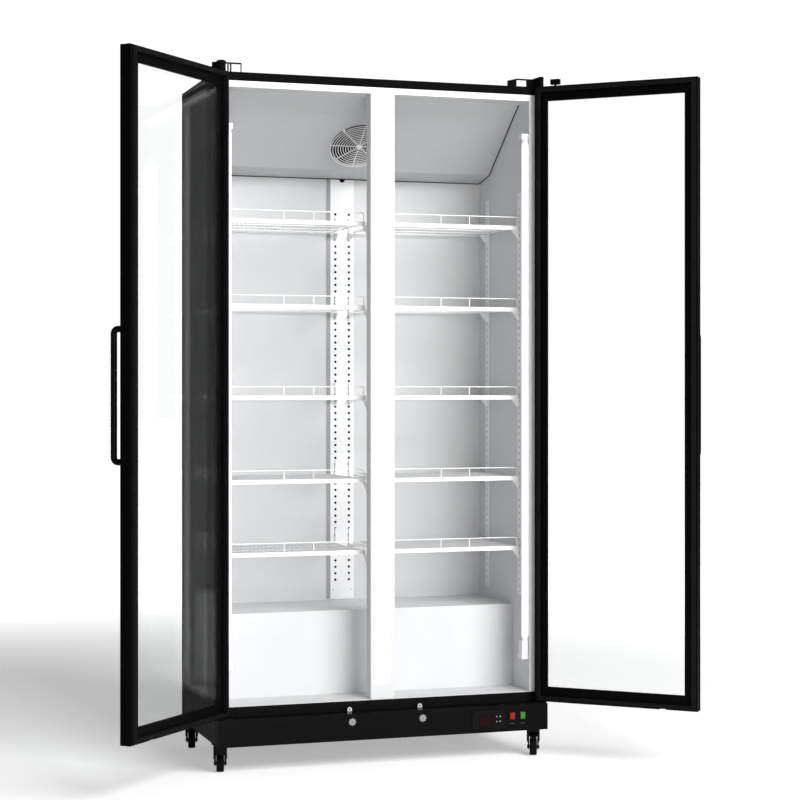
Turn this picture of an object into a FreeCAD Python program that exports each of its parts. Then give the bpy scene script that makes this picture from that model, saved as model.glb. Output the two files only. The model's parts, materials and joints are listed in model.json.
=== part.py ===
import FreeCAD, Part
import math, os, re
from FreeCAD import Vector, Placement, Rotation

# Two-door upright glass door merchandiser on casters.
# Frame: X to the right, Y to the back, Z up, millimetres. The origin is the point on the
# floor below the middle of the cabinet's front plane (y = 0 is the plane the doors close on).

doc = FreeCAD.newDocument("merchandiser")
sheet = doc.addObject("Spreadsheet::Sheet", "Sizes")

SIZES = [
    ("cab_width", 1000), ("cab_depth", 472), ("cab_top", 2000), ("body_base", 83),
    ("skin", 1), ("gauge", 1.5), ("back_split", 440),
    ("ring_side", 23), ("ring_top", 25), ("breaker_depth", 8),
    ("inner_half", 459), ("inner_back", 425), ("floor_top", 191), ("ceiling", 1957),
    ("hump_front", 141), ("hump_top", 438), ("foam", 30),
    ("mullion_half", 37), ("mullion_depth", 42), ("cover_half", 25.5), ("cover_low", 233), ("cover_high", 1932), ("cover_thick", 3),
    ("lamp_x", 449.4), ("lamp_y", 10.5), ("lamp_y_left", 52), ("lamp_radius", 9.5), ("lamp_low", 342), ("lamp_high", 1843),
    ("evap_front_y", 80), ("evap_knee_y", 335), ("evap_knee_z", 1769), ("evap_back_z", 1751.8), ("evap_half", 458.5), ("evap_sheet", 2),
    ("fan_y", 243), ("fan_hole", 80), ("guard_radius", 90), ("guard_pitch", 7.8), ("guard_wire", 2.2), ("fan_radius", 74), ("shaft_radius", 4), ("run_fit", 0.05),
    ("std_half", 38), ("std_thick", 2.5), ("std_low", 440), ("std_high", 1751), ("std_hole", 4), ("hole_pitch", 20), ("hole_first", 500), ("hole_count", 58), ("std_column", 22),
    ("strip_wide", 28), ("strip_thick", 2), ("strip_low", 472), ("strip_high", 1690), ("strip_front_y", 76), ("strip_rear_y", 352), ("strip_hole", 3.5),
    ("shelf_inner", 32), ("shelf_outer", 452), ("shelf_front", 70), ("shelf_back", 413), ("shelf_bar", 12.5), ("shelf_gauge", 3), ("wire", 3), ("wire_count", 31),
    ("level_a", 1589), ("level_b", 1342), ("level_c", 1076), ("level_d", 832), ("level_e", 621),
    ("guard_rise", 26), ("guard_post_a", 173), ("guard_post_b", 263), ("guard_bend", 7),
    ("panel_top", 160), ("panel_front", 47), ("lock_x", 107), ("lock_z", 137), ("barrel_radius", 10), ("barrel_face", 12), ("bolt_half", 7), ("bolt_top", 176), ("bolt_travel", 12), ("bolt_back", 18), ("bolt_thick", 4),
    ("ctrl_left", 260), ("ctrl_right", 363), ("ctrl_low", 92.5), ("ctrl_high", 149.5), ("button_radius", 3.5),
    ("rocker_wide", 22), ("rocker_tall", 27), ("rocker_z", 128), ("red_x", 387), ("green_x", 420), ("rocker_radius", 11.4), ("rocker_pivot_y", 42),
    ("pivot_in", 13), ("pivot_out", 24), ("hinge_rail", 64), ("left_open", 133.3), ("right_open", 137.8),
    ("door_low", 165), ("door_high", 1997), ("door_face", 12), ("door_thick", 31), ("door_reach", 484.5), ("stile", 38.5), ("rail", 44), ("lip_back", 11),
    ("glass_gap", 20), ("glass_hold", 14), ("pane", 4), ("spacer", 10), ("gasket_inset", 4), ("gasket_wide", 13), ("gasket_tall", 11.6), ("gasket_step", 9.5), ("gasket_crown", 8.9),
    ("handle_radius", 8.6), ("handle_inset", 15), ("handle_off", 29), ("handle_low", 896), ("handle_high", 1262), ("handle_bend", 12),
    ("pin_radius", 4), ("pin_clear", 0.08),
    ("caster_x", 480), ("caster_front", 19), ("caster_rear", 410), ("wheel_radius", 25), ("wheel_wide", 22), ("trail", 22), ("cheek_in", 11.8), ("cheek", 2.5), ("king_radius", 5), ("axle_radius", 3),
]
V = {}
for row, (name, value) in enumerate(SIZES, start=1):
    sheet.set("A%d" % row, name)
    sheet.set("B%d" % row, str(value))
    sheet.setAlias("B%d" % row, name)
    V[name] = float(value)
doc.recompute()

NAMES = sorted(V, key=len, reverse=True)
PATTERN = re.compile(r"\b(" + "|".join(NAMES) + r")\b")


def ex(text):
    """Sheet expression from plain alias names."""
    return PATTERN.sub(r"Sizes.\1", str(text))


def bind(obj, prop, text):
    obj.setExpression(prop, ex(text))


def place(obj, x=None, y=None, z=None):
    for axis, text in (("x", x), ("y", y), ("z", z)):
        if text is not None:
            bind(obj, "Placement.Base." + axis, text)


def box(name, x0, x1, y0, y1, z0, z1):
    o = doc.addObject("Part::Box", name)
    bind(o, "Length", "(%s) - (%s)" % (x1, x0))
    bind(o, "Width", "(%s) - (%s)" % (y1, y0))
    bind(o, "Height", "(%s) - (%s)" % (z1, z0))
    place(o, x0, y0, z0)
    return o


def cyl(name, radius, height, x, y, z, axis="Z"):
    o = doc.addObject("Part::Cylinder", name)
    bind(o, "Radius", radius)
    bind(o, "Height", height)
    if axis == "X":
        o.Placement.Rotation = Rotation(Vector(0, 1, 0), 90)
    elif axis == "Y":
        o.Placement.Rotation = Rotation(Vector(1, 0, 0), -90)
    place(o, x, y, z)
    return o


def fuse(name, parts):
    o = doc.addObject("Part::MultiFuse", name)
    o.Shapes = parts
    o.Refine = True
    return o


def cut(name, base, tools):
    o = doc.addObject("Part::Cut", name)
    o.Base = base
    if len(tools) == 1:
        o.Tool = tools[0]
    else:
        c = doc.addObject("Part::Compound", name + "_tools")
        c.Links = tools
        o.Tool = c
    return o


OUT = []


def node(label, obj):
    obj.Label = label
    OUT.append((label, obj))
    return obj


def group(label, parts):
    o = doc.addObject("Part::Compound", label + "_set")
    o.Links = parts
    return node(label, o)


def origin_plane(body, role):
    return [f for f in body.Origin.OriginFeatures if f.Role == role][0]


def sketch(body, name, role, offset=None):
    sk = body.newObject("Sketcher::SketchObject", name)
    sk.AttachmentSupport = [(origin_plane(body, role), "")]
    sk.MapMode = "FlatFace"
    if offset is not None:
        bind(sk, "AttachmentOffset.Base.z", offset)
    return sk


def polygon(sk, points):
    """Closed outline through points given as pairs of sheet expressions, each corner dimensioned."""
    import Sketcher
    vals = [(value(a), value(b)) for a, b in points]
    n = len(points)
    for i in range(n):
        a, b = vals[i], vals[(i + 1) % n]
        sk.addGeometry(Part.LineSegment(Vector(a[0], a[1], 0), Vector(b[0], b[1], 0)), False)
    for i in range(n):
        sk.addConstraint(Sketcher.Constraint("Coincident", i, 2, (i + 1) % n, 1))
    for i, (a, b) in enumerate(points):
        for kind, text, val, axis in (("DistanceX", a, vals[i][0], -2), ("DistanceY", b, vals[i][1], -1)):
            if abs(val) < 1e-9:
                sk.addConstraint(Sketcher.Constraint("PointOnObject", i, 1, axis))
            else:
                k = sk.addConstraint(Sketcher.Constraint(kind, -1, 1, i, 1, val))
                sk.setExpression("Constraints[%d]" % k, ex(text))


def value(text):
    """Number of an expression made of sheet names, read through a helper property."""
    probe.setExpression("Length", ex("(%s) + 100000" % text))
    probe.recompute()
    return probe.Length.Value - 100000


probe = doc.addObject("Part::Box", "probe")


def pad(body, sk, length, reverse=False):
    p = body.newObject("PartDesign::Pad", sk.Name + "_pad")
    p.Profile = sk
    bind(p, "Length", length)
    p.Reversed = reverse
    return p


def pocket(body, sk, length, reverse=False):
    p = body.newObject("PartDesign::Pocket", sk.Name + "_pocket")
    p.Profile = sk
    bind(p, "Length", length)
    p.Reversed = reverse
    return p


def new_body(name):
    return doc.addObject("PartDesign::Body", name)


def array(label, source, places):
    """Equal separate solids at the given placements."""
    o = doc.addObject("Part::Feature", label + "_array")
    solids = []
    for p in places:
        s = source.Shape.copy()
        s.Placement = p.multiply(s.Placement)
        solids.append(s)
    o.Shape = Part.makeCompound(solids)
    return o


HW = "cab_width/2"

# ---------------------------------------------------------------- outer skins
group("outer_panels", [
    box("skin_left", "-" + HW, "-%s + skin" % HW, "gauge", "cab_depth - skin", "body_base", "cab_top - skin"),
    box("skin_right", "%s - skin" % HW, HW, "gauge", "cab_depth - skin", "body_base", "cab_top - skin"),
    box("skin_top", "-" + HW, HW, "hinge_rail", "cab_depth - skin", "cab_top - skin", "cab_top")])

upper_back = box("skin_back", "-" + HW, HW, "cab_depth - skin", "cab_depth", "back_split", "cab_top")
lower_back = box("back_lower_blank", "-" + HW, HW, "cab_depth - skin", "cab_depth", "body_base", "back_split")
slots = []
for c, cx in enumerate((-300, 0)):
    for r in range(14):
        slots.append(box("vent_%d_%d" % (c, r), "%d" % (cx - 110), "%d" % (cx + 110), "cab_depth - 5", "cab_depth + 5",
                         "%d" % (140 + 18 * r), "%d" % (147 + 18 * r)))
slots.append(cyl("gland_hole", "9 + run_fit", "20", "380", "cab_depth - 10", "130", "Y"))
group("back_panels", [upper_back, cut("back_lower", lower_back, slots)])

# ---------------------------------------------------------------- front ring
group("front_frame", [
    box("ring_top_bar", "-" + HW, HW, "0", "gauge", "cab_top - ring_top", "cab_top"),
    box("ring_top_return", "-" + HW, HW, "gauge", "hinge_rail", "cab_top - skin", "cab_top"),
    box("ring_left_bar", "-" + HW, "-%s + ring_side" % HW, "0", "gauge", "floor_top - gauge", "cab_top - ring_top"),
    box("ring_right_bar", "%s - ring_side" % HW, HW, "0", "gauge", "floor_top - gauge", "cab_top - ring_top"),
    box("ring_low_bar", "-" + HW, HW, "0", "gauge", "body_base", "floor_top - gauge")])
group("breaker_strip", [
    box("breaker_top", "-%s + ring_side" % HW, "%s - ring_side" % HW, "0", "breaker_depth", "ceiling + gauge", "cab_top - ring_top"),
    box("breaker_left", "-%s + ring_side" % HW, "-inner_half - gauge", "0", "breaker_depth", "floor_top - gauge", "ceiling + gauge"),
    box("breaker_right", "inner_half + gauge", "%s - ring_side" % HW, "0", "breaker_depth", "floor_top - gauge", "ceiling + gauge")])

# ---------------------------------------------------------------- foam and liner
LO = "inner_half + gauge"
group("wall_insulation", [
    box("foam_left", "-%s + skin" % HW, "-inner_half - gauge", "breaker_depth", "cab_depth - skin", "floor_top - gauge - foam", "cab_top - skin"),
    box("foam_right", LO, "%s - skin" % HW, "breaker_depth", "cab_depth - skin", "floor_top - gauge - foam", "cab_top - skin"),
    box("foam_top", "-inner_half - gauge", LO, "breaker_depth", "cab_depth - skin", "ceiling + gauge", "cab_top - skin"),
    box("foam_back", "-inner_half - gauge", LO, "inner_back + gauge", "cab_depth - skin", "hump_top - gauge", "ceiling + gauge"),
    box("foam_floor", "-inner_half - gauge", LO, "gauge", "hump_front + gauge + foam", "floor_top - gauge - foam", "floor_top - gauge"),
    box("foam_hump_front", "-inner_half", "inner_half", "hump_front + gauge", "hump_front + gauge + foam", "floor_top - gauge", "hump_top - gauge - foam"),
    box("foam_hump_top", "-inner_half", "inner_half", "hump_front + gauge", "cab_depth - skin", "hump_top - gauge - foam", "hump_top - gauge")])
group("inner_liner", [
    box("liner_left", "-inner_half - gauge", "-inner_half", "0", "inner_back + gauge", "floor_top - gauge", "ceiling + gauge"),
    box("liner_right", "inner_half", LO, "0", "inner_back + gauge", "floor_top - gauge", "ceiling + gauge"),
    box("liner_floor", "-inner_half", "inner_half", "0", "hump_front + gauge", "floor_top - gauge", "floor_top"),
    box("liner_hump_front", "-inner_half", "inner_half", "hump_front", "hump_front + gauge", "floor_top", "hump_top - gauge"),
    box("liner_hump_top", "-inner_half", "inner_half", "hump_front", "inner_back + gauge", "hump_top - gauge", "hump_top"),
    box("liner_back", "-inner_half", "inner_half", "inner_back", "inner_back + gauge", "hump_top", "ceiling"),
    box("liner_ceiling", "-inner_half", "inner_half", "0", "inner_back + gauge", "ceiling", "ceiling + gauge")])

# ---------------------------------------------------------------- centre mullion
b = new_body("mullion")
sk = sketch(b, "mullion_face", "XZ_Plane")
polygon(sk, [("-mullion_half", "floor_top"), ("mullion_half", "floor_top"), ("mullion_half", "ceiling"), ("-mullion_half", "ceiling")])
pad(b, sk, "mullion_depth", True)
sk = sketch(b, "mullion_recess", "XZ_Plane")
polygon(sk, [("-cover_half", "cover_low"), ("cover_half", "cover_low"), ("cover_half", "cover_high"), ("-cover_half", "cover_high")])
pocket(b, sk, "cover_thick", False)
node("centre_mullion", b)
node("mullion_lamp_cover", box("lamp_strip", "-cover_half", "cover_half", "0", "cover_thick", "cover_low", "cover_high"))

# ---------------------------------------------------------------- side lamps
group("side_lamp_tubes", [
    cyl("tube_left", "lamp_radius", "lamp_high - lamp_low", "-lamp_x", "lamp_y_left", "lamp_low"),
    cyl("tube_right", "lamp_radius", "lamp_high - lamp_low", "lamp_x", "lamp_y", "lamp_low")])
holders = []
for s, nm in ((-1, "l"), (1, "r")):
    x0, x1 = ("-inner_half", "-inner_half + 22") if s < 0 else ("inner_half - 22", "inner_half")
    back = "lamp_y_left - lamp_y + " if s < 0 else ""
    holders.append(box("holder_low_" + nm, x0, x1, back + "3", back + ("22" if s < 0 else "36"), "lamp_low - 56", "lamp_low"))
    holders.append(box("holder_high_" + nm, x0, x1, back + "3", back + ("22" if s < 0 else "27"), "lamp_high", "lamp_high + 17"))
group("lamp_holders", holders)

# ---------------------------------------------------------------- evaporator housing
A = (V["evap_front_y"], V["ceiling"])
B = (V["evap_knee_y"], V["evap_knee_z"])
C = (V["inner_back"], V["evap_back_z"])
t = V["evap_sheet"]


def unit(p, q):
    d = math.hypot(q[0] - p[0], q[1] - p[1])
    return ((q[0] - p[0]) / d, (q[1] - p[1]) / d)


d1, d2 = unit(A, B), unit(B, C)
u1, u2 = (-d1[1], d1[0]), (-d2[1], d2[0])
k = t / (1 + u1[0] * u2[0] + u1[1] * u2[1])
Bk = (B[0] + k * (u1[0] + u2[0]), B[1] + k * (u1[1] + u2[1]))
Ao = (A[0] + t * u1[0], A[1] + t * u1[1])
Ak = (Ao[0] + d1[0] * (Ao[1] - A[1]) / -d1[1], A[1])
Ck = (C[0], C[1] + t / u2[1])
slope = math.degrees(math.atan2(-d1[1], d1[0]))
fan_z = A[1] - (V["fan_y"] - A[0]) * math.tan(math.radians(slope))
# The sloping sheet and the drip sheet meet on the bisector of their fold line.
for row, (name, val) in enumerate((("knee_in_y", Bk[0]), ("knee_in_z", Bk[1]), ("front_in_y", Ak[0]), ("back_in_z", Ck[1]),
                                   ("fan_z", fan_z), ("fan_tilt", 180 - slope)), start=len(SIZES) + 2):
    sheet.set("A%d" % row, name)
    sheet.set("B%d" % row, "%.6f" % val)
    sheet.setAlias("B%d" % row, name)
    V[name] = val
doc.recompute()
PATTERN = re.compile(r"\b(" + "|".join(sorted(V, key=len, reverse=True)) + r")\b")


def tilted(obj):
    """Stand a piece built about local Z on the sloping sheet: local +Z points into the shelf space."""
    obj.Placement = Placement(Vector(0, V["fan_y"], fan_z), Rotation(Vector(1, 0, 0), 180 - slope))
    bind(obj, "Placement.Base.y", "fan_y")
    bind(obj, "Placement.Base.z", "fan_z")
    bind(obj, "Placement.Rotation.Angle", "fan_tilt")
    return obj


b = new_body("slope_sheet")
sk = sketch(b, "slope_profile", "YZ_Plane", "-evap_half")
polygon(sk, [("evap_front_y", "ceiling"), ("evap_knee_y", "evap_knee_z"), ("knee_in_y", "knee_in_z"), ("front_in_y", "ceiling")])
pad(b, sk, "2*evap_half")
hole = cyl("fan_bore", "fan_hole", "40", "0", "0", "-20")
hole_set = doc.addObject("Part::Compound", "fan_bore_set")
hole_set.Links = [hole]
tilted(hole_set)
slope_cut = cut("slope_sheet_cut", b, [hole_set])
b = new_body("drip_sheet")
sk = sketch(b, "drip_profile", "YZ_Plane", "-evap_half")
polygon(sk, [("evap_knee_y", "evap_knee_z"), ("inner_back", "evap_back_z"), ("inner_back", "back_in_z"), ("knee_in_y", "knee_in_z")])
pad(b, sk, "2*evap_half")
group("evaporator_cover", [slope_cut, b])

# Concentric ring guard on four spokes, standing on four feet.
rings = []
for i in range(11):
    r = "(guard_radius - %d*guard_pitch)" % i
    outer = cyl("ring_o%d" % i, r, "guard_wire", "0", "0", "8")
    inner = cyl("ring_i%d" % i, r + " - guard_wire", "guard_wire + 2", "0", "0", "7")
    rings.append(cut("ring_%d" % i, outer, [inner]))
rings.append(cyl("guard_disc", "8", "guard_wire", "0", "0", "8"))
for i in range(4):
    sp = doc.addObject("Part::Box", "guard_spoke%d" % i)
    bind(sp, "Length", "guard_radius + 3")
    sp.Width = 3
    sp.Height = 3
    sp.Placement = Placement(Vector(0, 0, 5), Rotation(Vector(0, 0, 1), 45 + 90 * i)).multiply(Placement(Vector(0, -1.5, 0), Rotation()))
    ft = doc.addObject("Part::Box", "guard_foot%d" % i)
    ft.Length, ft.Width, ft.Height = 6, 6, 5
    ft.Placement = Placement(Vector(0, 0, 0), Rotation(Vector(0, 0, 1), 45 + 90 * i)).multiply(Placement(Vector(V["guard_radius"] - 3, -3, 0), Rotation()))
    rings += [sp, ft]
node("fan_guard", tilted(fuse("guard", rings)))


def blade_wheel(name, radius, hub, low, high, count, width, pitch):
    """Axial fan wheel about local Z with a bored hub."""
    parts = [cyl(name + "_hub", hub, "(%s) - (%s)" % (high, low), "0", "0", low)]
    mid = (value(low) + value(high)) / 2
    for i in range(count):
        bl = doc.addObject("Part::Box", "%s_b%d" % (name, i))
        bind(bl, "Length", "(%s) - (%s) + 3" % (radius, hub))
        bl.Width, bl.Height = width, 1.6
        bl.Placement = Placement(Vector(0, 0, mid), Rotation(Vector(0, 0, 1), 360.0 * i / count)).multiply(
            Placement(Vector(value(hub) - 3, 0, 0), Rotation(Vector(1, 0, 0), pitch))).multiply(Placement(Vector(0, -width / 2.0, -0.8), Rotation()))
        parts.append(bl)
    f = fuse(name + "_solid", parts)
    bore = cyl(name + "_bore", "shaft_radius + run_fit", "(%s) - (%s) + 4" % (high, low), "0", "0", "(%s) - 2" % low)
    rim_o = cyl(name + "_rim_o", "(%s) + 60" % radius, "80", "0", "0", "(%s) - 30" % low)
    rim_i = cyl(name + "_rim_i", radius, "84", "0", "0", "(%s) - 32" % low)
    return cut(name + "_wheel", f, [bore, cut(name + "_rim", rim_o, [rim_i])])


node("evaporator_fan_blade", tilted(blade_wheel("efan", "fan_radius", "14", "-21", "-7", 5, 40, 24)))

motor_parts = [cyl("emotor_can", "30", "44", "0", "0", "-70"), cyl("emotor_shaft", "shaft_radius", "22", "0", "0", "-27")]
for i in range(3):
    arm = doc.addObject("Part::Box", "emotor_arm%d" % i)
    arm.Length, arm.Width, arm.Height = 74, 10, 4
    arm.Placement = Placement(Vector(0, 0, -30), Rotation(Vector(0, 0, 1), 90 + 120 * i)).multiply(Placement(Vector(24, -5, 0), Rotation()))
    post = doc.addObject("Part::Box", "emotor_post%d" % i)
    post.Length, post.Width, post.Height = 8, 10, 25.0
    post.Placement = Placement(Vector(0, 0, -27), Rotation(Vector(0, 0, 1), 90 + 120 * i)).multiply(Placement(Vector(90, -5, 0), Rotation()))
    motor_parts += [arm, post]
node("evaporator_fan_motor", tilted(fuse("emotor", motor_parts)))

coil = [box("coil_pack", "-380", "380", "358", "402", "1790", "1930"),
        box("coil_end_l", "-384", "-380", "340", "418", "1780", "1940"), box("coil_end_r", "380", "384", "340", "418", "1780", "1940")]
for r in range(4):
    for c in range(2):
        coil.append(cyl("coil_bend_l%d%d" % (r, c), "6", "16", "-400", "%d" % (362 + 36 * c), "%d" % (1806 + 36 * r), "X"))
        coil.append(cyl("coil_bend_r%d%d" % (r, c), "6", "16", "384", "%d" % (362 + 36 * c), "%d" % (1806 + 36 * r), "X"))
node("evaporator_coil", fuse("coil", coil))

# ---------------------------------------------------------------- shelf standards
b = new_body("centre_plate")
sk = sketch(b, "centre_plate_face", "XZ_Plane", "-inner_back")
polygon(sk, [("-std_half", "std_low"), ("std_half", "std_low"), ("std_half", "std_high"), ("-std_half", "std_high")])
pad(b, sk, "std_thick")
import Sketcher
sk = sketch(b, "centre_plate_holes", "XZ_Plane", "-inner_back + std_thick")
for s in (-1, 1):
    g = sk.addGeometry(Part.Circle(Vector(s * V["std_column"], V["hole_first"], 0), Vector(0, 0, 1), V["std_hole"]), False)
    for kind, text in (("DistanceX", ("-" if s < 0 else "") + "std_column"), ("DistanceY", "hole_first")):
        n = sk.addConstraint(Sketcher.Constraint(kind, -1, 1, g, 3, value(text)))
        sk.setExpression("Constraints[%d]" % n, ex(text))
    n = sk.addConstraint(Sketcher.Constraint("Radius", g, V["std_hole"]))
    sk.setExpression("Constraints[%d]" % n, ex("std_hole"))
pk = pocket(b, sk, "std_thick", False)
doc.recompute()
lp = b.newObject("PartDesign::LinearPattern", "centre_plate_rows")
lp.Originals = [pk]
lp.Direction = (sk, ["V_Axis"])
bind(lp, "Length", "hole_pitch*(hole_count - 1)")
lp.Occurrences = int(V["hole_count"])
b.Tip = lp
notch = cyl("drain_notch", "9", "20", "0", "inner_back - 10", "std_high - 3", "Y")
centre = cut("centre_plate_cut", b, [notch])
edge = box("centre_edge_strip", "-std_half - 13", "-std_half", "inner_back - 2", "inner_back", "std_low", "std_high")
group("rear_centre_standard", [centre, edge])

b = new_body("side_strip")
sk = sketch(b, "side_strip_face", "YZ_Plane")
polygon(sk, [("-strip_wide/2", "strip_low"), ("strip_wide/2", "strip_low"), ("strip_wide/2", "strip_high"), ("-strip_wide/2", "strip_high")])
pad(b, sk, "strip_thick")
sk = sketch(b, "side_strip_holes", "YZ_Plane", "strip_thick")
g = sk.addGeometry(Part.Circle(Vector(0, V["hole_first"], 0), Vector(0, 0, 1), V["strip_hole"]), False)
sk.addConstraint(Sketcher.Constraint("PointOnObject", g, 3, -2))
n = sk.addConstraint(Sketcher.Constraint("DistanceY", -1, 1, g, 3, V["hole_first"]))
sk.setExpression("Constraints[%d]" % n, ex("hole_first"))
n = sk.addConstraint(Sketcher.Constraint("Radius", g, V["strip_hole"]))
sk.setExpression("Constraints[%d]" % n, ex("strip_hole"))
pk = pocket(b, sk, "strip_thick", False)
doc.recompute()
lp = b.newObject("PartDesign::LinearPattern", "side_strip_rows")
lp.Originals = [pk]
lp.Direction = (sk, ["V_Axis"])
bind(lp, "Length", "hole_pitch*(hole_count - 1)")
lp.Occurrences = int(V["hole_count"])
b.Tip = lp
doc.recompute()
node("side_standards", array("side_standards", b, [
    Placement(Vector(x, y, 0), Rotation())
    for x in (-V["inner_half"], V["inner_half"] - V["strip_thick"]) for y in (V["strip_front_y"], V["strip_rear_y"])]))

# ---------------------------------------------------------------- shelves
L = "(shelf_outer - shelf_inner)"
parts = [
    box("deck_bar", "0", L, "shelf_front", "shelf_front + shelf_gauge", "-shelf_bar", "0"),
    box("deck_left", "0", "4", "shelf_front + shelf_gauge", "shelf_back", "-7", "0"),
    box("deck_right", L + " - 4", L, "shelf_front + shelf_gauge", "shelf_back", "-7", "0")]
for i, y in enumerate((108, 209, 310)):
    parts.append(box("deck_cross%d" % i, "0", L, str(y), "%d + 4" % y, "-7", "-wire"))
parts.append(box("deck_cross3", "0", L, "shelf_back - 4", "shelf_back", "-7", "-wire"))
for i in range(int(V["wire_count"])):
    x = "4 + (%s - 8)*%d/(wire_count + 1)" % (L, i + 1)
    parts.append(box("deck_wire%d" % i, x + " - wire/2", x + " + wire/2", "shelf_front + shelf_gauge", "shelf_back", "-wire", "0"))
deck = fuse("deck", parts)

GB = "guard_bend"
rail = [cyl("guard_rail", "wire/2", L + " - 8 - 2*" + GB, "4 + " + GB, "shelf_front + shelf_gauge/2", "guard_rise", "X")]
for i, x in enumerate(("4", L + " - 4")):
    rail.append(cyl("guard_end%d" % i, "wire/2", "guard_rise - " + GB, x, "shelf_front + shelf_gauge/2", "0"))
    tor = doc.addObject("Part::Torus", "guard_elbow%d" % i)
    bind(tor, "Radius1", GB)
    bind(tor, "Radius2", "wire/2")
    tor.Angle3 = 90
    tor.Placement.Rotation = Rotation(Vector(1, 0, 0), 90).multiply(Rotation(Vector(0, 0, 1), 90 if i == 0 else 0))
    place(tor, ("4 + " + GB) if i == 0 else (L + " - 4 - " + GB), "shelf_front + shelf_gauge/2", "guard_rise - " + GB)
    rail.append(tor)
for i, x in enumerate(("guard_post_a", "guard_post_b")):
    rail.append(cyl("guard_post%d" % i, "wire/2", "guard_rise", x, "shelf_front + shelf_gauge/2", "0"))
guard = fuse("guard_wire_loop", rail)
doc.recompute()

LEVELS = [V["level_" + c] for c in "abcde"]
bays = [Vector(-V["shelf_outer"], 0, z) for z in LEVELS] + [Vector(V["shelf_inner"], 0, z) for z in LEVELS]
node("shelf_decks", array("shelf_decks", deck, [Placement(v, Rotation()) for v in bays]))
node("shelf_guards", array("shelf_guards", guard, [Placement(v, Rotation()) for v in bays]))

# Clips: gussets on the wall strips, hooked tabs on the centre plate, gussets on the mullion.
b = new_body("clip_wall")
sk = sketch(b, "clip_wall_face", "XZ_Plane", "6")
polygon(sk, [("0", "-7"), ("-24", "-7"), ("-24", "-10"), ("-3", "-36"), ("0", "-36")])
pad(b, sk, "12", True)
b2 = new_body("clip_mullion")
sk = sketch(b2, "clip_mullion_face", "YZ_Plane", "-3.5")
polygon(sk, [("0", "-shelf_bar"), ("36", "-shelf_bar"), ("36", "-shelf_bar - 3"), ("0", "-shelf_bar - 28")])
pad(b2, sk, "7")
b3 = new_body("clip_centre")
sk = sketch(b3, "clip_centre_face", "YZ_Plane", "-2")
polygon(sk, [("0", "40"), ("-6", "40"), ("-6", "-7"), ("-30", "-7"), ("-30", "-10"), ("0", "-34")])
pad(b3, sk, "4")
tab = box("clip_tab", "-21", "-2", "-26", "-8", "-10", "-7")
doc.recompute()
hook = fuse("clip_centre_full", [b3, tab])
doc.recompute()
flip = Rotation(Vector(0, 0, 1), 180)
wall_x = V["inner_half"] - V["strip_thick"]
solids = []
for z in LEVELS:
    for y in (V["strip_front_y"] + 5, V["strip_rear_y"]):
        for s in (1, -1):
            q = b.Shape.copy()
            q.Placement = Placement(Vector(s * wall_x, y, z), Rotation() if s > 0 else flip).multiply(q.Placement)
            solids.append(q)
    for s in (1, -1):
        q = b2.Shape.copy()
        q.Placement = Placement(Vector(s * (V["mullion_half"] - 3.5), V["mullion_depth"], z), Rotation()).multiply(q.Placement)
        solids.append(q)
        q = hook.Shape.copy()
        if s > 0:
            q = q.mirror(Vector(0, 0, 0), Vector(1, 0, 0))
        q.translate(Vector(s * V["std_column"], V["inner_back"] - V["std_thick"], z))
        solids.append(q)
clips = doc.addObject("Part::Feature", "shelf_clips_array")
clips.Shape = Part.makeCompound(solids)
node("shelf_clips", clips)

# ---------------------------------------------------------------- base
node("chassis_pan", box("pan", "-%s + skin" % HW, "%s - skin" % HW, "gauge", "cab_depth - skin", "body_base", "body_base + 2"))

PF = "-panel_front"
shell = fuse("panel_shell", [
    box("panel_face", "-" + HW, HW, PF, PF + " + gauge", "body_base", "panel_top"),
    box("panel_ledge", "-" + HW, HW, PF, "0", "panel_top - gauge", "panel_top"),
    box("panel_lip", "-" + HW, HW, PF, "0", "body_base", "body_base + gauge"),
    box("panel_end_l", "-" + HW, "-%s + gauge" % HW, PF, "0", "body_base", "panel_top"),
    box("panel_end_r", "%s - gauge" % HW, HW, PF, "0", "body_base", "panel_top")])
holes = []
for s, nm in (("-", "l"), ("", "r")):
    holes.append(cyl("barrel_hole_" + nm, "barrel_radius + run_fit", "10", s + "lock_x", PF + " - 5", "lock_z", "Y"))
    holes.append(box("bolt_slot_" + nm, "(%slock_x) - bolt_half - 0.4" % s, "(%slock_x) + bolt_half + 0.4" % s,
                     "-bolt_back - bolt_thick - 0.4", "-bolt_back + 0.4", "panel_top - 5", "panel_top + 5"))
holes.append(box("ctrl_window", "ctrl_left + 5", "ctrl_right - 5", PF + " - 5", PF + " + 5", "ctrl_low + 5", "ctrl_high - 5"))
for x in ("red_x", "green_x"):
    holes.append(box("rocker_window_" + x, "%s - rocker_wide/2 + 2" % x, "%s + rocker_wide/2 - 2" % x, PF + " - 5", PF + " + 5",
                     "rocker_z - rocker_tall/2 + 1.5", "rocker_z + rocker_tall/2 - 1.5"))
node("base_front_panel", cut("panel", shell, holes))

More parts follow.
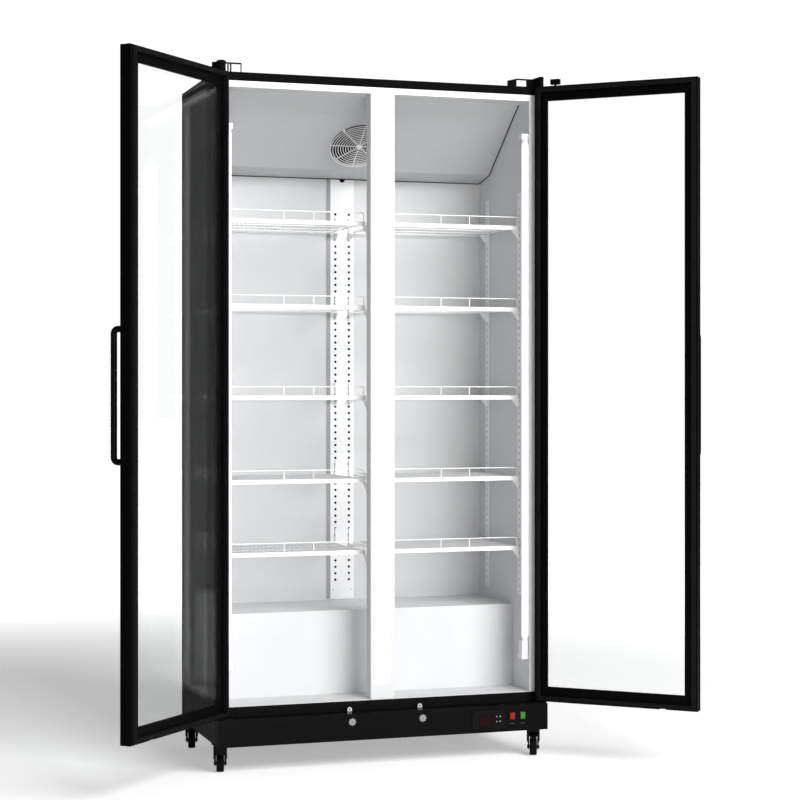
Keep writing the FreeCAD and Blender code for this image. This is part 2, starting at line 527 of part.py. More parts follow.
# Locks: bored housing behind the panel, key barrel with a crank pin, lifting bolt.
housings = []
for s, nm in (("-", "l"), ("", "r")):
    blank = box("housing_blank_" + nm, "(%slock_x) - 17" % s, "(%slock_x) + 17" % s, PF + " + gauge", "-26", "lock_z - 17", "lock_z + 17")
    bore = cyl("housing_bore_" + nm, "barrel_radius + run_fit", "40", s + "lock_x", PF + " - 5", "lock_z", "Y")
    housings.append(cut("housing_" + nm, blank, [bore]))
group("lock_housings", housings)
for s, nm in (("-", "left"), ("", "right")):
    body = cyl("barrel_body_" + nm, "barrel_radius", "panel_front - 25", s + "lock_x", PF, "lock_z", "Y")
    face = cyl("barrel_flange_" + nm, "barrel_face", "2.6", s + "lock_x", PF + " - 2.8", "lock_z", "Y")
    neck = cyl("barrel_neck_" + nm, "barrel_radius", "4", s + "lock_x", PF + " - 2", "lock_z", "Y")
    pin = cyl("barrel_pin_" + nm, "1.5", "8.5", "(%slock_x) + 8" % s, "-25.5", "lock_z", "Y")
    whole = fuse("barrel_solid_" + nm, [body, face, neck, pin])
    way = box("key_way_" + nm, "(%slock_x) - 4" % s, "(%slock_x) + 4" % s, PF + " - 6", PF + " + 4", "lock_z - 1", "lock_z + 1")
    node("lock_barrel_" + nm, cut("barrel_" + nm, whole, [way]))
    low = box("bolt_foot_" + nm, "(%slock_x) - 7" % s, "(%slock_x) + 14" % s, "-bolt_back - bolt_thick", "-bolt_back", "lock_z - 9", "lock_z + 6")
    tabb = box("bolt_tab_" + nm, "(%slock_x) - bolt_half" % s, "(%slock_x) + bolt_half" % s, "-bolt_back - bolt_thick", "-bolt_back", "lock_z", "bolt_top - bolt_half")
    tip = cyl("bolt_tip_" + nm, "bolt_half", "bolt_thick", s + "lock_x", "-bolt_back - bolt_thick", "bolt_top - bolt_half", "Y")
    eye = cyl("bolt_eye_" + nm, "2", "bolt_thick + 4", s + "lock_x", "-bolt_back - bolt_thick - 2", "bolt_top - bolt_half", "Y")
    window = box("bolt_window_" + nm, "(%slock_x) - 2.2" % s, "(%slock_x) + 10.2" % s, "-bolt_back - bolt_thick - 2", "-bolt_back + 2", "lock_z - 6.6", "lock_z + 2.4")
    node("lock_bolt_" + nm, cut("bolt_" + nm, fuse("bolt_solid_" + nm, [low, tabb, tip]), [window, eye]))

# ---------------------------------------------------------------- controls
bez = fuse("ctrl_solid", [
    box("ctrl_bezel", "ctrl_left", "ctrl_right", PF + " - 3", PF, "ctrl_low", "ctrl_high"),
    box("ctrl_case", "ctrl_left + 5", "ctrl_right - 5", PF, "-22", "ctrl_low + 5", "ctrl_high - 5")])
BUTTONS = [("up", "ctrl_left + 76.5", "129.5"), ("set", "ctrl_left + 87.5", "129.5"), ("down", "ctrl_left + 76.5", "115"), ("power", "ctrl_left + 87.5", "115")]
cuts = [box("ctrl_lens_recess", "ctrl_left + 22", "ctrl_left + 71", PF + " - 5", PF + " - 2", "ctrl_low + 7", "ctrl_high - 16")]
for nm, x, z in BUTTONS:
    cuts.append(cyl("ctrl_bore_" + nm, "button_radius + run_fit", "8", x, PF + " - 6", z, "Y"))
lens = box("ctrl_lens", "ctrl_left + 22", "ctrl_left + 71", PF + " - 3.2", PF + " - 2", "ctrl_low + 7", "ctrl_high - 16")
group("controller_body", [cut("ctrl_cut", bez, cuts), lens])
for nm, x, z in BUTTONS:
    node("controller_button_" + nm, cyl("button_" + nm, "button_radius", "4.2", x, PF + " - 4", z, "Y"))

bezels = []
for x in ("red_x", "green_x"):
    o = fuse("rb_solid_" + x, [
        box("rb_face_" + x, "%s - rocker_wide/2" % x, "%s + rocker_wide/2" % x, PF + " - 2", PF, "rocker_z - rocker_tall/2", "rocker_z + rocker_tall/2"),
        box("rb_case_" + x, "%s - rocker_wide/2 + 2" % x, "%s + rocker_wide/2 - 2" % x, PF, "-24", "rocker_z - rocker_tall/2 + 1.5", "rocker_z + rocker_tall/2 - 1.5")])
    well = box("rb_well_" + x, "%s - rocker_wide/2 + 3.5" % x, "%s + rocker_wide/2 - 3.5" % x, PF + " - 5", "-29", "rocker_z - rocker_radius - 0.3", "rocker_z + rocker_radius + 0.3")
    bezels.append(cut("rb_" + x, o, [well]))
group("rocker_bezels", bezels)
for x, nm in (("red_x", "rocker_red"), ("green_x", "rocker_green")):
    drum = cyl(nm + "_drum", "rocker_radius", "rocker_wide - 7.6", "%s - rocker_wide/2 + 3.8" % x, "-rocker_pivot_y", "rocker_z", "X")
    # Two flats give the rocker its shallow V face; it rests with the lower half pressed in.
    wedge = []
    for a in (90 - 8, 90 + 8):
        w = doc.addObject("Part::Box", nm + "_flat%d" % a)
        bind(w, "Length", "rocker_wide")
        w.Width, w.Height = 30, 80
        r = Rotation(Vector(1, 0, 0), (a - 90) + 8)
        w.Placement = Placement(Vector(V[x] - V["rocker_wide"] / 2, -V["rocker_pivot_y"], V["rocker_z"]), r).multiply(
            Placement(Vector(0, -30 - 8.6, -40), Rotation()))
        wedge.append(w)
    tail = box(nm + "_back", "%s - rocker_wide/2" % x, "%s + rocker_wide/2" % x, "-rocker_pivot_y + 6", "-rocker_pivot_y + 30", "rocker_z - 20", "rocker_z + 20")
    node(nm, cut(nm + "_paddle", drum, wedge + [tail]))

# ---------------------------------------------------------------- machinery
b = new_body("compressor_can")
sk = sketch(b, "compressor_profile", "XZ_Plane")
polygon(sk, [("0", "95"), ("62", "95"), ("74", "110"), ("78", "150"), ("76", "190"), ("78", "196"), ("72", "240"), ("52", "266"), ("20", "276"), ("0", "277")])
rv = b.newObject("PartDesign::Revolution", "compressor_turn")
rv.Profile = sk
rv.ReferenceAxis = (sk, ["V_Axis"])
rv.Angle = 360
doc.recompute()
feet = [box("comp_plate", "-80", "80", "-60", "60", "90", "95")]
for sx in (-1, 1):
    for sy in (-1, 1):
        feet.append(cyl("comp_foot%d%d" % (sx, sy), "12", "5", "%d" % (66 * sx), "%d" % (46 * sy), "body_base + 2"))
feet.append(cyl("comp_stub_a", "5", "40", "40", "0", "240"))
feet.append(cyl("comp_stub_b", "6", "40", "-36", "0", "240"))
comp = fuse("compressor_whole", [b] + feet)
comp.Placement.Base = Vector(230, 330, 0)
node("compressor", comp)

node("condenser_coil", fuse("condenser", [
    box("cond_pack", "-426", "-94", "200", "245", "100", "370"),
    box("cond_end_l", "-430", "-426", "196", "249", "body_base + 2", "374"),
    box("cond_end_r", "-94", "-90", "196", "249", "body_base + 2", "374")]))
CX, CZ = "-260", "232"
node("condenser_fan_motor", fuse("cmotor", [
    cyl("cmotor_can", "36", "46", CX, "292", CZ, "Y"), cyl("cmotor_shaft", "shaft_radius", "32", CX, "262", CZ, "Y"),
    box("cmotor_post", "-275", "-245", "305", "325", "body_base + 2", "210"), box("cmotor_foot", "-300", "-220", "295", "335", "body_base + 2", "90")]))
wheel = blade_wheel("cfan", "110", "16", "-10", "10", 5, 60, 24)
wheel.Placement = Placement(Vector(-260, 276, 232), Rotation(Vector(1, 0, 0), 90))
node("condenser_fan_blade", wheel)
node("cable_gland", fuse("gland", [
    cyl("gland_tube", "9", "27", "380", "cab_depth - 9", "130", "Y"), cyl("gland_nut", "13", "6", "380", "cab_depth", "130", "Y")]))

# ---------------------------------------------------------------- hinge brackets
PX, PY = "(%s - pivot_in)" % HW, "-pivot_out"
brackets = []
# Each top bracket is a bent strap on the cabinet's edge: feet, an open bay under the strap, and a tongue out over the door's pin.
STRAP = {"l": [("-" + HW, "cab_top"), ("-" + HW, "2026"), ("-422", "2026"), ("-422", "cab_top"), ("-423.3", "cab_top"), ("-423.3", "2022.8"),
               ("-451.5", "2022.8"), ("-451.5", "cab_top"), ("-454", "cab_top"), ("-454", "2022.8"), ("-459.5", "2022.8"), ("-459.5", "cab_top"),
               ("-462", "cab_top"), ("-462", "2022.8"), ("-468", "2022.8"), ("-468", "cab_top")],
         "r": [("392.5", "cab_top"), ("392.5", "2016"), ("420", "2023"), (HW, "2023"), (HW, "cab_top"), ("453", "cab_top"), ("453", "2019.5"),
               ("421.5", "2019.5"), ("419", "2018.5"), ("419", "cab_top")]}
for s, nm in (("-", "l"), ("", "r")):
    px = s + PX
    b = new_body("hinge_strap_" + nm)
    sk = sketch(b, "strap_profile_" + nm, "XZ_Plane")
    polygon(sk, STRAP[nm])
    pad(b, sk, "9", True)
    inner = ("-" + HW, "-468") if s else ("469.5", HW)
    reach = ("-" + HW, "-475.5") if s else ("469.5", "492")
    blk = box("hinge_block_" + nm, inner[0], inner[1], "9", "46" if s else "40", "cab_top", "2019.5")
    tongue = box("hinge_tongue_" + nm, reach[0], reach[1], "-pivot_out - 13", "1" if s else "0", "2019.5", "2023")
    knuckle = cyl("hinge_knuckle_" + nm, "13" if s else "8.5", "2025 - door_high - 1", px, PY, "door_high + 1")
    head = cyl("hinge_head_" + nm, "8", "2", px, PY, "2025")
    pin = cyl("hinge_pin_" + nm, "pin_radius", "2019 - door_high + 18", px, PY, "door_high - 18")
    brackets.append(fuse("hinge_top_" + nm, [b, blk, tongue, knuckle, head, pin]))
    lo = box("hinge_low_plate_" + nm, "-" + HW if s else "455", "-455" if s else HW, "-pivot_out - 14", "-0.5", "panel_top", "door_low - 2")
    lp_ = cyl("hinge_low_pin_" + nm, "pin_radius", "20", px, PY, "door_low - 3")
    brackets.append(fuse("hinge_low_" + nm, [lo, lp_]))
group("hinge_brackets", brackets)

# ---------------------------------------------------------------- doors
# A door is drawn closed about its own pivot, then turned to its standing angle.
DF, DB = "door_face", "(door_face - door_thick)"
G0, G1 = "(door_face - 6 - glass_gap)", "(door_face - 6)"
FREE = "door_reach"
HINGE = "-pivot_in"
ZR0, ZR1 = "(door_low + rail)", "(door_high - rail)"


def door(side):
    sg = 1 if side == "left" else -1

    def bx(name, u0, u1, y0, y1, z0, z1):
        if sg > 0:
            return box(side + "_" + name, u0, u1, y0, y1, z0, z1)
        return box(side + "_" + name, "-(%s)" % u1, "-(%s)" % u0, y0, y1, z0, z1)

    def cy(name, r, h, u, y, z, axis="Z"):
        if sg < 0 and axis == "X":
            return cyl(side + "_" + name, r, h, "-(%s) - (%s)" % (u, h), y, z, axis)
        return cyl(side + "_" + name, r, h, u if sg > 0 else "-(%s)" % u, y, z, axis)

    def finish(label, obj):
        sign = "-" if sg > 0 else ""
        obj.Placement = Placement(Vector(0, 0, 0), Rotation(Vector(0, 0, 1), -V["left_open"] if sg > 0 else V["right_open"]))
        bind(obj, "Placement.Base.x", sign + PX)
        bind(obj, "Placement.Base.y", PY)
        bind(obj, "Placement.Rotation.Angle", "-left_open" if sg > 0 else "right_open")
        obj.Label = label
        OUT.append((label, obj))

    GZ0, GZ1 = ZR0 + " - glass_hold", ZR1 + " + glass_hold"
    free = cut(side + "_free_stile", bx("free_blank", FREE + " - stile", FREE, DB, DF, "door_low", "door_high"), [
        bx("free_channel", FREE + " - stile - 1", FREE + " - stile + glass_hold", G0, G1, GZ0, GZ1),
        bx("free_lip", FREE + " - stile - 1", FREE + " - stile + lip_back", DB + " - 1", G0 + " + 1", ZR0 + " - lip_back", ZR1 + " + lip_back"),
        bx("free_groove", FREE + " - 2", FREE + " + 1", DB + " + 12", DB + " + 20", "door_low - 1", "door_high + 1"),
        bx("free_groove2", FREE + " - 1", FREE + " + 1", DB + " + 3", DB + " + 5", "door_low - 1", "door_high + 1")])
    hinge = cut(side + "_hinge_stile", bx("hinge_blank", HINGE, HINGE + " + stile", DB, DF, "door_low", "door_high"), [
        bx("hinge_channel", HINGE + " + stile - glass_hold", HINGE + " + stile + 1", G0, G1, GZ0, GZ1),
        bx("hinge_lip", HINGE + " + stile - lip_back", HINGE + " + stile + 1", DB + " - 1", G0 + " + 1", ZR0 + " - lip_back", ZR1 + " + lip_back"),
        cy("hinge_bore_low", "pin_radius + pin_clear", "20", "0", "0", "door_low - 1"),
        cy("hinge_bore_high", "pin_radius + pin_clear", "25", "0", "0", "door_high - 19")])
    R0, R1 = HINGE + " + stile", FREE + " - stile"
    top = cut(side + "_top_rail", bx("top_blank", R0, R1, DB, DF, ZR1, "door_high"), [
        bx("top_channel", R0 + " - 1", R1 + " + 1", G0, G1, ZR1 + " - 1", GZ1),
        bx("top_lip", R0 + " - 1", R1 + " + 1", DB + " - 1", G0 + " + 1", ZR1 + " - 1", ZR1 + " + lip_back")])
    LU = "(%s - pivot_in - lock_x)" % HW
    low = cut(side + "_low_rail", bx("low_blank", R0, R1, DB, DF, "door_low", ZR0), [
        bx("low_channel", R0 + " - 1", R1 + " + 1", G0, G1, GZ0, ZR0 + " + 1"),
        bx("low_lip", R0 + " - 1", R1 + " + 1", DB + " - 1", G0 + " + 1", ZR0 + " - lip_back", ZR0 + " + 1"),
        bx("bolt_notch", LU + " - bolt_half - 3", LU + " + bolt_half + 3", "pivot_out - bolt_back - bolt_thick - 3", DF + " + 1", "door_low - 1", "bolt_top + 2"),
        bx("bolt_pocket", LU + " - bolt_half - 2", LU + " + bolt_half + 2", "pivot_out - bolt_back - bolt_thick - 2", "pivot_out - bolt_back + 2", "bolt_top + 1", "bolt_top + bolt_travel + 5")])
    B0, B1, BS = ("14.5", "28", "22") if sg > 0 else ("30", "58", "44")
    block = fuse(side + "_stop", [bx("stop_block", B0, B1, DB + " + 5", DF + " - 11", "door_high + 6", "door_high + 21.5"),
                                  cy("stop_stem", "3", "8", BS, DF + " - 18.5", "door_high")])
    c = doc.addObject("Part::Compound", side + "_frame_set")
    c.Links = [free, hinge, top, low, block]
    finish(side + "_door_frame", c)

    U0, U1 = R0 + " - glass_hold", R1 + " + glass_hold"
    ring = cut(side + "_spacer", bx("spacer_blank", U0, U1, G0 + " + pane", G1 + " - pane", GZ0, GZ1), [
        bx("spacer_hole", U0 + " + glass_hold - spacer + 3", U1 + " - glass_hold + spacer - 3", G0, G1, GZ0 + " + glass_hold - spacer + 3", GZ1 + " - glass_hold + spacer - 3")])
    c = doc.addObject("Part::Compound", side + "_glass_set")
    c.Links = [bx("pane_out", U0, U1, G0, G0 + " + pane", GZ0, GZ1), bx("pane_in", U0, U1, G1 + " - pane", G1, GZ0, GZ1), ring]
    finish(side + "_door_glass", c)

    gi, gw, gc = "gasket_inset", "gasket_wide", "gasket_crown"
    hole = bx("gasket_hole", HINGE + " + %s + %s" % (gi, gw), FREE + " - %s - %s" % (gi, gw), DF + " - 1", DF + " + gasket_tall + 1",
              "door_low + %s + %s" % (gi, gw), "door_high - %s - %s" % (gi, gw))
    foot = bx("gasket_foot", HINGE + " + " + gi, FREE + " - " + gi, DF, DF + " + gasket_step", "door_low + " + gi, "door_high - " + gi)
    crown = bx("gasket_crown", HINGE + " + " + gc, FREE + " - " + gc, DF + " + gasket_step - 1", DF + " + gasket_tall", "door_low + " + gc, "door_high - " + gc)
    gk = cut(side + "_gasket", fuse(side + "_gasket_blank", [foot, crown]), [hole])
    c = doc.addObject("Part::Compound", side + "_gasket_set")
    c.Links = [gk]
    finish(side + "_door_gasket", c)

    hu = "(door_reach - handle_inset)"
    hy = "(%s - handle_off)" % DB
    hb, hr = "handle_bend", "handle_radius"
    bar = cy("handle_bar", hr, "handle_high - handle_low - 2*%s - 2*%s" % (hr, hb), hu, hy, "handle_low + %s + %s" % (hr, hb))
    parts = [bar]
    for z, up in (("(handle_low + %s)" % hr, False), ("(handle_high - %s)" % hr, True)):
        nm = "hi" if up else "lo"
        parts.append(cy("handle_leg_" + nm, hr, "handle_off - " + hb, hu, hy + " + " + hb, z, "Y"))
        tor = doc.addObject("Part::Torus", side + "_handle_elbow_" + nm)
        bind(tor, "Radius1", hb)
        bind(tor, "Radius2", hr)
        tor.Angle3 = 90
        # The elbow turns from the upright bar to the leg, in the plane across the door.
        tor.Placement.Rotation = Rotation(Vector(0, 0, 1), Vector(0, 1, 0), Vector(1, 0, 0), "ZXY")
        q = Rotation(Vector(0, 1, 0), 90)
        tor.Placement.Rotation = q.multiply(Rotation(Vector(0, 0, 1), 180 if up else 270))
        place(tor, hu if sg > 0 else "-(%s)" % hu, hy + " + " + hb, (z + " - " + hb) if up else (z + " + " + hb))
        parts.append(tor)
    hd = fuse(side + "_handle_solid", parts)
    c = doc.addObject("Part::Compound", side + "_handle_set")
    c.Links = [hd]
    finish(side + "_door_handle", c)


door("left")
door("right")

# ---------------------------------------------------------------- casters
CASTERS = [("fl", "-", "caster_front", 77.3, True), ("fr", "", "caster_front", 248.3, True),
           ("rl", "-", "caster_rear", 78.1, False), ("rr", "", "caster_rear", 172, False)]
plates = []
for nm, s, cyy, ang, brake in CASTERS:
    x = s + "caster_x"
    plates.append(fuse("caster_plate_" + nm, [
        box("cp_" + nm, "(%s) - 20" % x, "(%s) + 20" % x, cyy + " - 28", cyy + " + 28", "80", "body_base"),
        cyl("cr_" + nm, "20", "4", x, cyy, "76"), cyl("ck_" + nm, "king_radius", "14", x, cyy, "62")]))
group("caster_plates", plates)

for nm, s, cyy, ang, brake in CASTERS:
    # Local frame: the wheel trails along +X, the axle runs along Y.
    H = "cheek_in + cheek"
    body = new_body("cheek_" + nm)
    sk = sketch(body, "cheek_profile_" + nm, "XZ_Plane", "cheek_in")
    polygon(sk, [("-15", "72"), ("-12", "50"), ("trail - 9", "wheel_radius - 4"), ("trail", "wheel_radius - 9"), ("trail + 9", "wheel_radius - 2"), ("trail + 10", "60"), ("trail + 8", "72")])
    pad(body, sk, "cheek")
    doc.recompute()
    # Hood over the cheek: full width under the swivel race, drawn in towards the axle.
    hood = new_body("hood_" + nm)
    sk = sketch(hood, "hood_profile_" + nm, "YZ_Plane", "-12")
    polygon(sk, [("cheek_in", "72"), ("cheek_in", "32"), (H, "30"), ("19.5", "45"), ("19.5", "72")])
    pad(hood, sk, "trail + 20")
    doc.recompute()
    both = fuse("cheek_pair_" + nm, [body, hood])
    other = doc.addObject("Part::Mirroring", "cheek_far_" + nm)
    other.Source = both
    other.Normal = Vector(0, 1, 0)
    top = box("fork_top_" + nm, "-15", "trail + 8", "-19.5", "19.5", "71", "75.5")
    disc = cyl("fork_disc_" + nm, "20", "4.5", "0", "0", "71")
    crown = box("fork_crown_" + nm, "-15", "14", "-cheek_in", "cheek_in", "53", "71")
    axle = cyl("fork_axle_" + nm, "axle_radius", "2*(%s) + 2" % H, "trail", "-(%s) - 1" % H, "wheel_radius", "Y")
    nut1 = cyl("fork_nut_" + nm, "6", "4", "trail", H, "wheel_radius", "Y")
    nut2 = cyl("fork_head_" + nm, "6", "4", "trail", "-(%s) - 4" % H, "wheel_radius", "Y")
    pieces = [both, other, top, disc, crown, axle, nut1, nut2]
    if brake:
        pieces.append(cyl("fork_brake_pin_" + nm, "2", "2*cheek_in + 2", "trail + 3", "-cheek_in - 1", "61", "Y"))
    solid = cut("fork_" + nm, fuse("fork_solid_" + nm, pieces), [cyl("fork_bore_" + nm, "king_radius + run_fit", "19", "0", "0", "60")])
    wheel_o = cyl("wheel_tyre_" + nm, "wheel_radius", "wheel_wide", "trail", "-wheel_wide/2", "wheel_radius", "Y")
    dish1 = cyl("wheel_dish_a_" + nm, "wheel_radius - 7", "3", "trail", "wheel_wide/2 - 3", "wheel_radius", "Y")
    dish2 = cyl("wheel_dish_b_" + nm, "wheel_radius - 7", "3", "trail", "-wheel_wide/2", "wheel_radius", "Y")
    hub = cyl("wheel_hub_" + nm, "8", "2*cheek_in - 1", "trail", "-cheek_in + 0.5", "wheel_radius", "Y")
    wheel = cut("wheel_" + nm, fuse("wheel_solid_" + nm, [cut("wheel_rim_" + nm, wheel_o, [dish1, dish2]), hub]),
                [cyl("wheel_bore_" + nm, "axle_radius + run_fit", "40", "trail", "-20", "wheel_radius", "Y")])
    items = [("caster_fork_" + nm, solid), ("caster_wheel_" + nm, wheel)]
    if brake:
        hubb = cyl("pedal_hub_" + nm, "4.5", "2*cheek_in - 1.4", "trail + 3", "-cheek_in + 0.7", "61", "Y")
        bodyp = new_body("pedal_arm_" + nm)
        sk = sketch(bodyp, "pedal_profile_" + nm, "XZ_Plane", "-10")
        polygon(sk, [("trail + 4", "65"), ("trail + 22", "63"), ("trail + 34", "58"), ("trail + 34", "54"), ("trail + 22", "57.5"), ("trail + 4", "58")])
        pad(bodyp, sk, "20")
        doc.recompute()
        items.append(("caster_brake_" + nm, cut("pedal_" + nm, fuse("pedal_solid_" + nm, [hubb, bodyp]),
                                                [cyl("pedal_bore_" + nm, "2 + run_fit", "40", "trail + 3", "-20", "61", "Y")])))
    for label, o in items:
        c = doc.addObject("Part::Compound", label + "_set")
        c.Links = [o]
        c.Placement = Placement(Vector(0, 0, 0), Rotation(Vector(0, 0, 1), ang))
        bind(c, "Placement.Base.x", s + "caster_x")
        bind(c, "Placement.Base.y", cyy)
        c.Label = label
        OUT.append((label, c))

doc.removeObject("probe")
doc.recompute()

# ---------------------------------------------------------------- checks and export
bad = []
for o in doc.Objects:
    if "Invalid" in o.State or "Error" in o.State:
        bad.append("%s %s" % (o.Name, o.State))
for label, o in OUT:
    s = o.Shape
    if s.isNull() or not s.isValid() or len(s.Solids) < 1:
        bad.append("%s shape" % label)
if bad:
    raise RuntimeError("; ".join(bad))
os.makedirs("parts", exist_ok=True)
for label, o in OUT:
    o.Shape.exportStep(os.path.join("parts", label + ".step"))
    bb = o.Shape.BoundBox
    print("%-26s solids %3d  vol %10.1f cm3  x %8.1f %8.1f  y %8.1f %8.1f  z %8.1f %8.1f" % (
        label, len(o.Shape.Solids), o.Shape.Volume / 1000, bb.XMin, bb.XMax, bb.YMin, bb.YMax, bb.ZMin, bb.ZMax))
print("nodes", len(OUT))
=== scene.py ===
import json
import math

import bmesh
import bpy
from mathutils import Matrix, Vector


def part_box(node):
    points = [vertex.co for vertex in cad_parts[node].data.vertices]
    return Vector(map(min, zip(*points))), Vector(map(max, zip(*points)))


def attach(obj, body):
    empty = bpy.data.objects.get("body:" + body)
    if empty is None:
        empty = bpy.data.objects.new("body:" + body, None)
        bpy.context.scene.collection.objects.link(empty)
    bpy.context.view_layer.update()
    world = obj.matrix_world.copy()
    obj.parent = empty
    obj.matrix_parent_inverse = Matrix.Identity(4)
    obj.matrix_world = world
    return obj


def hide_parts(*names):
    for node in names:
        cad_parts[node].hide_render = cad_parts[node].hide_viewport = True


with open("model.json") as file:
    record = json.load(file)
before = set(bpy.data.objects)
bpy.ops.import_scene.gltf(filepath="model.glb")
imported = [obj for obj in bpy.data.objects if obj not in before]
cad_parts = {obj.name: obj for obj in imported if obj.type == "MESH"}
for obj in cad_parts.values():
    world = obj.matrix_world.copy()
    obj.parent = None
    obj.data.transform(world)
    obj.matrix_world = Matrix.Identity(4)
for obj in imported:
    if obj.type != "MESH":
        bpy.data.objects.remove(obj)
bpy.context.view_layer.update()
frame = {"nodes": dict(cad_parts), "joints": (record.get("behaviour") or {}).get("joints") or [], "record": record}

NODES = frame["nodes"]
JOINT = {j["name"]: j for j in frame["joints"]}
SLOTS = {s["node"]: s["material_slot"] for s in frame["record"]["subparts"]}
scene = bpy.context.scene
PI = math.pi


# ------------------------------------------------------------------ materials
def nodes_of(name):
    m = bpy.data.materials.new(name)
    m.use_nodes = True
    nt = m.node_tree
    nt.nodes.clear()
    out = nt.nodes.new("ShaderNodeOutputMaterial")
    p = nt.nodes.new("ShaderNodeBsdfPrincipled")
    nt.links.new(p.outputs[0], out.inputs[0])
    return m, nt, p, out


def noise(nt, scale, detail=3.0, rough=0.55, stretch=None):
    tc = nt.nodes.new("ShaderNodeTexCoord")
    mp = nt.nodes.new("ShaderNodeMapping")
    if stretch:
        mp.inputs["Scale"].default_value = stretch
    n = nt.nodes.new("ShaderNodeTexNoise")
    n.inputs["Scale"].default_value = scale
    n.inputs["Detail"].default_value = detail
    n.inputs["Roughness"].default_value = rough
    nt.links.new(tc.outputs["Object"], mp.inputs[0])
    nt.links.new(mp.outputs[0], n.inputs[0])
    return n


def ramp(nt, src, lo, hi, a=0.3, b=0.7):
    r = nt.nodes.new("ShaderNodeMapRange")
    r.inputs["From Min"].default_value = a
    r.inputs["From Max"].default_value = b
    r.inputs["To Min"].default_value = lo
    r.inputs["To Max"].default_value = hi
    nt.links.new(src, r.inputs[0])
    return r.outputs[0]


def blendcol(nt, fac, c0, c1):
    m = nt.nodes.new("ShaderNodeMix")
    m.data_type = "RGBA"
    m.inputs[6].default_value = (*c0, 1)
    m.inputs[7].default_value = (*c1, 1)
    nt.links.new(fac, m.inputs[0])
    return m.outputs[2]


def bump(nt, src, p, dist, strength=1.0):
    b = nt.nodes.new("ShaderNodeBump")
    b.inputs["Distance"].default_value = dist
    b.inputs["Strength"].default_value = strength
    nt.links.new(src, b.inputs["Height"])
    nt.links.new(b.outputs[0], p.inputs["Normal"])
    return b


def setp(p, **kw):
    names = {"spec": "Specular IOR Level", "metal": "Metallic", "rough": "Roughness", "coat": "Coat Weight", "coat_rough": "Coat Roughness",
             "ior": "IOR", "trans": "Transmission Weight", "sheen": "Sheen Weight", "emit": "Emission Strength"}
    for k, v in kw.items():
        p.inputs[names[k]].default_value = v


def finish_mat(name, c0, c1, r0, r1, cscale=6.0, fine=900.0, depth=0.00004, spec=0.5, metal=0.0, coat=0.0, coat_rough=0.2, stretch=None):
    """Coloured coat: slow colour variation, finer roughness variation and a fine bump."""
    m, nt, p, out = nodes_of(name)
    big = noise(nt, cscale, 4.0)
    small = noise(nt, fine, 2.0, stretch=stretch)
    nt.links.new(blendcol(nt, ramp(nt, big.outputs[0], 0, 1), c0, c1), p.inputs["Base Color"])
    nt.links.new(ramp(nt, noise(nt, cscale * 5, 5.0, stretch=stretch).outputs[0], r0, r1), p.inputs["Roughness"])
    if depth:
        bump(nt, small.outputs[0], p, depth)
    setp(p, spec=spec, metal=metal, coat=coat, coat_rough=coat_rough)
    return m


M = {}
M["black_coat"] = finish_mat("black_coat", (0.0022, 0.0022, 0.0024), (0.0030, 0.0030, 0.0032), 0.42, 0.52, 5, 1600, 0.00005, spec=0.07)
M["side_coat"] = finish_mat("side_coat", (0.0016, 0.0016, 0.0018), (0.0020, 0.0020, 0.0022), 0.34, 0.40, 3, 1600, 0.00001, spec=0.05)
M["door_black"] = finish_mat("door_black", (0.0010, 0.0010, 0.0011), (0.0015, 0.0015, 0.0016), 0.42, 0.52, 8, 1100, 0.00003, spec=0.05, stretch=(1, 1, 0.12))
M["handle_black"] = finish_mat("handle_black", (0.0016, 0.0016, 0.0017), (0.0022, 0.0022, 0.0023), 0.36, 0.44, 14, 1500, 0.00003, spec=0.08)
M["door_seal"] = finish_mat("door_seal", (0.0045, 0.0045, 0.0048), (0.0062, 0.0062, 0.0065), 0.60, 0.74, 20, 700, 0.00006, spec=0.08)
M["liner_white"] = finish_mat("liner_white", (0.60, 0.605, 0.61), (0.63, 0.635, 0.64), 0.40, 0.50, 3, 500, 0.00003, spec=0.25)
# Evaporator cover: a darker copy of the liner white, as painted shade for the downward-facing sheet.
M["cover_painted_shade_white"] = finish_mat("cover_painted_shade_white", (0.49, 0.495, 0.50), (0.52, 0.525, 0.53), 0.40, 0.50, 4, 700, 0.00003, spec=0.25)
M["white_coat"] = finish_mat("white_coat", (0.80, 0.805, 0.81), (0.83, 0.835, 0.84), 0.36, 0.46, 6, 900, 0.00003, spec=0.35)
M["wire_white"] = finish_mat("wire_white", (0.82, 0.825, 0.83), (0.86, 0.86, 0.865), 0.30, 0.40, 30, 800, 0.00002, spec=0.45)
M["strip_white"] = finish_mat("strip_white", (0.88, 0.885, 0.89), (0.90, 0.905, 0.91), 0.34, 0.42, 8, 900, 0.00002, spec=0.30)
# Screws: a darker copy of the white, as painted shade so they sit dim on the white sheet.
M["screw_painted_shade_white"] = finish_mat("screw_painted_shade_white", (0.46, 0.465, 0.47), (0.50, 0.505, 0.51), 0.50, 0.60, 30, 900, 0.00002, spec=0.12)
# Grey for the strip on the centre standard's edge: painted shade on its side.
M["painted_edge_shade"] = finish_mat("painted_edge_shade", (0.30, 0.305, 0.31), (0.34, 0.345, 0.35), 0.42, 0.52, 20, 900, 0.00002, spec=0.2)
# Near-black for the strip round the evaporator cover: painted shadow in the gaps.
M["painted_gap_shadow"] = finish_mat("painted_gap_shadow", (0.035, 0.035, 0.037), (0.05, 0.05, 0.052), 0.6, 0.7, 30, 900, 0.0, spec=0.1)
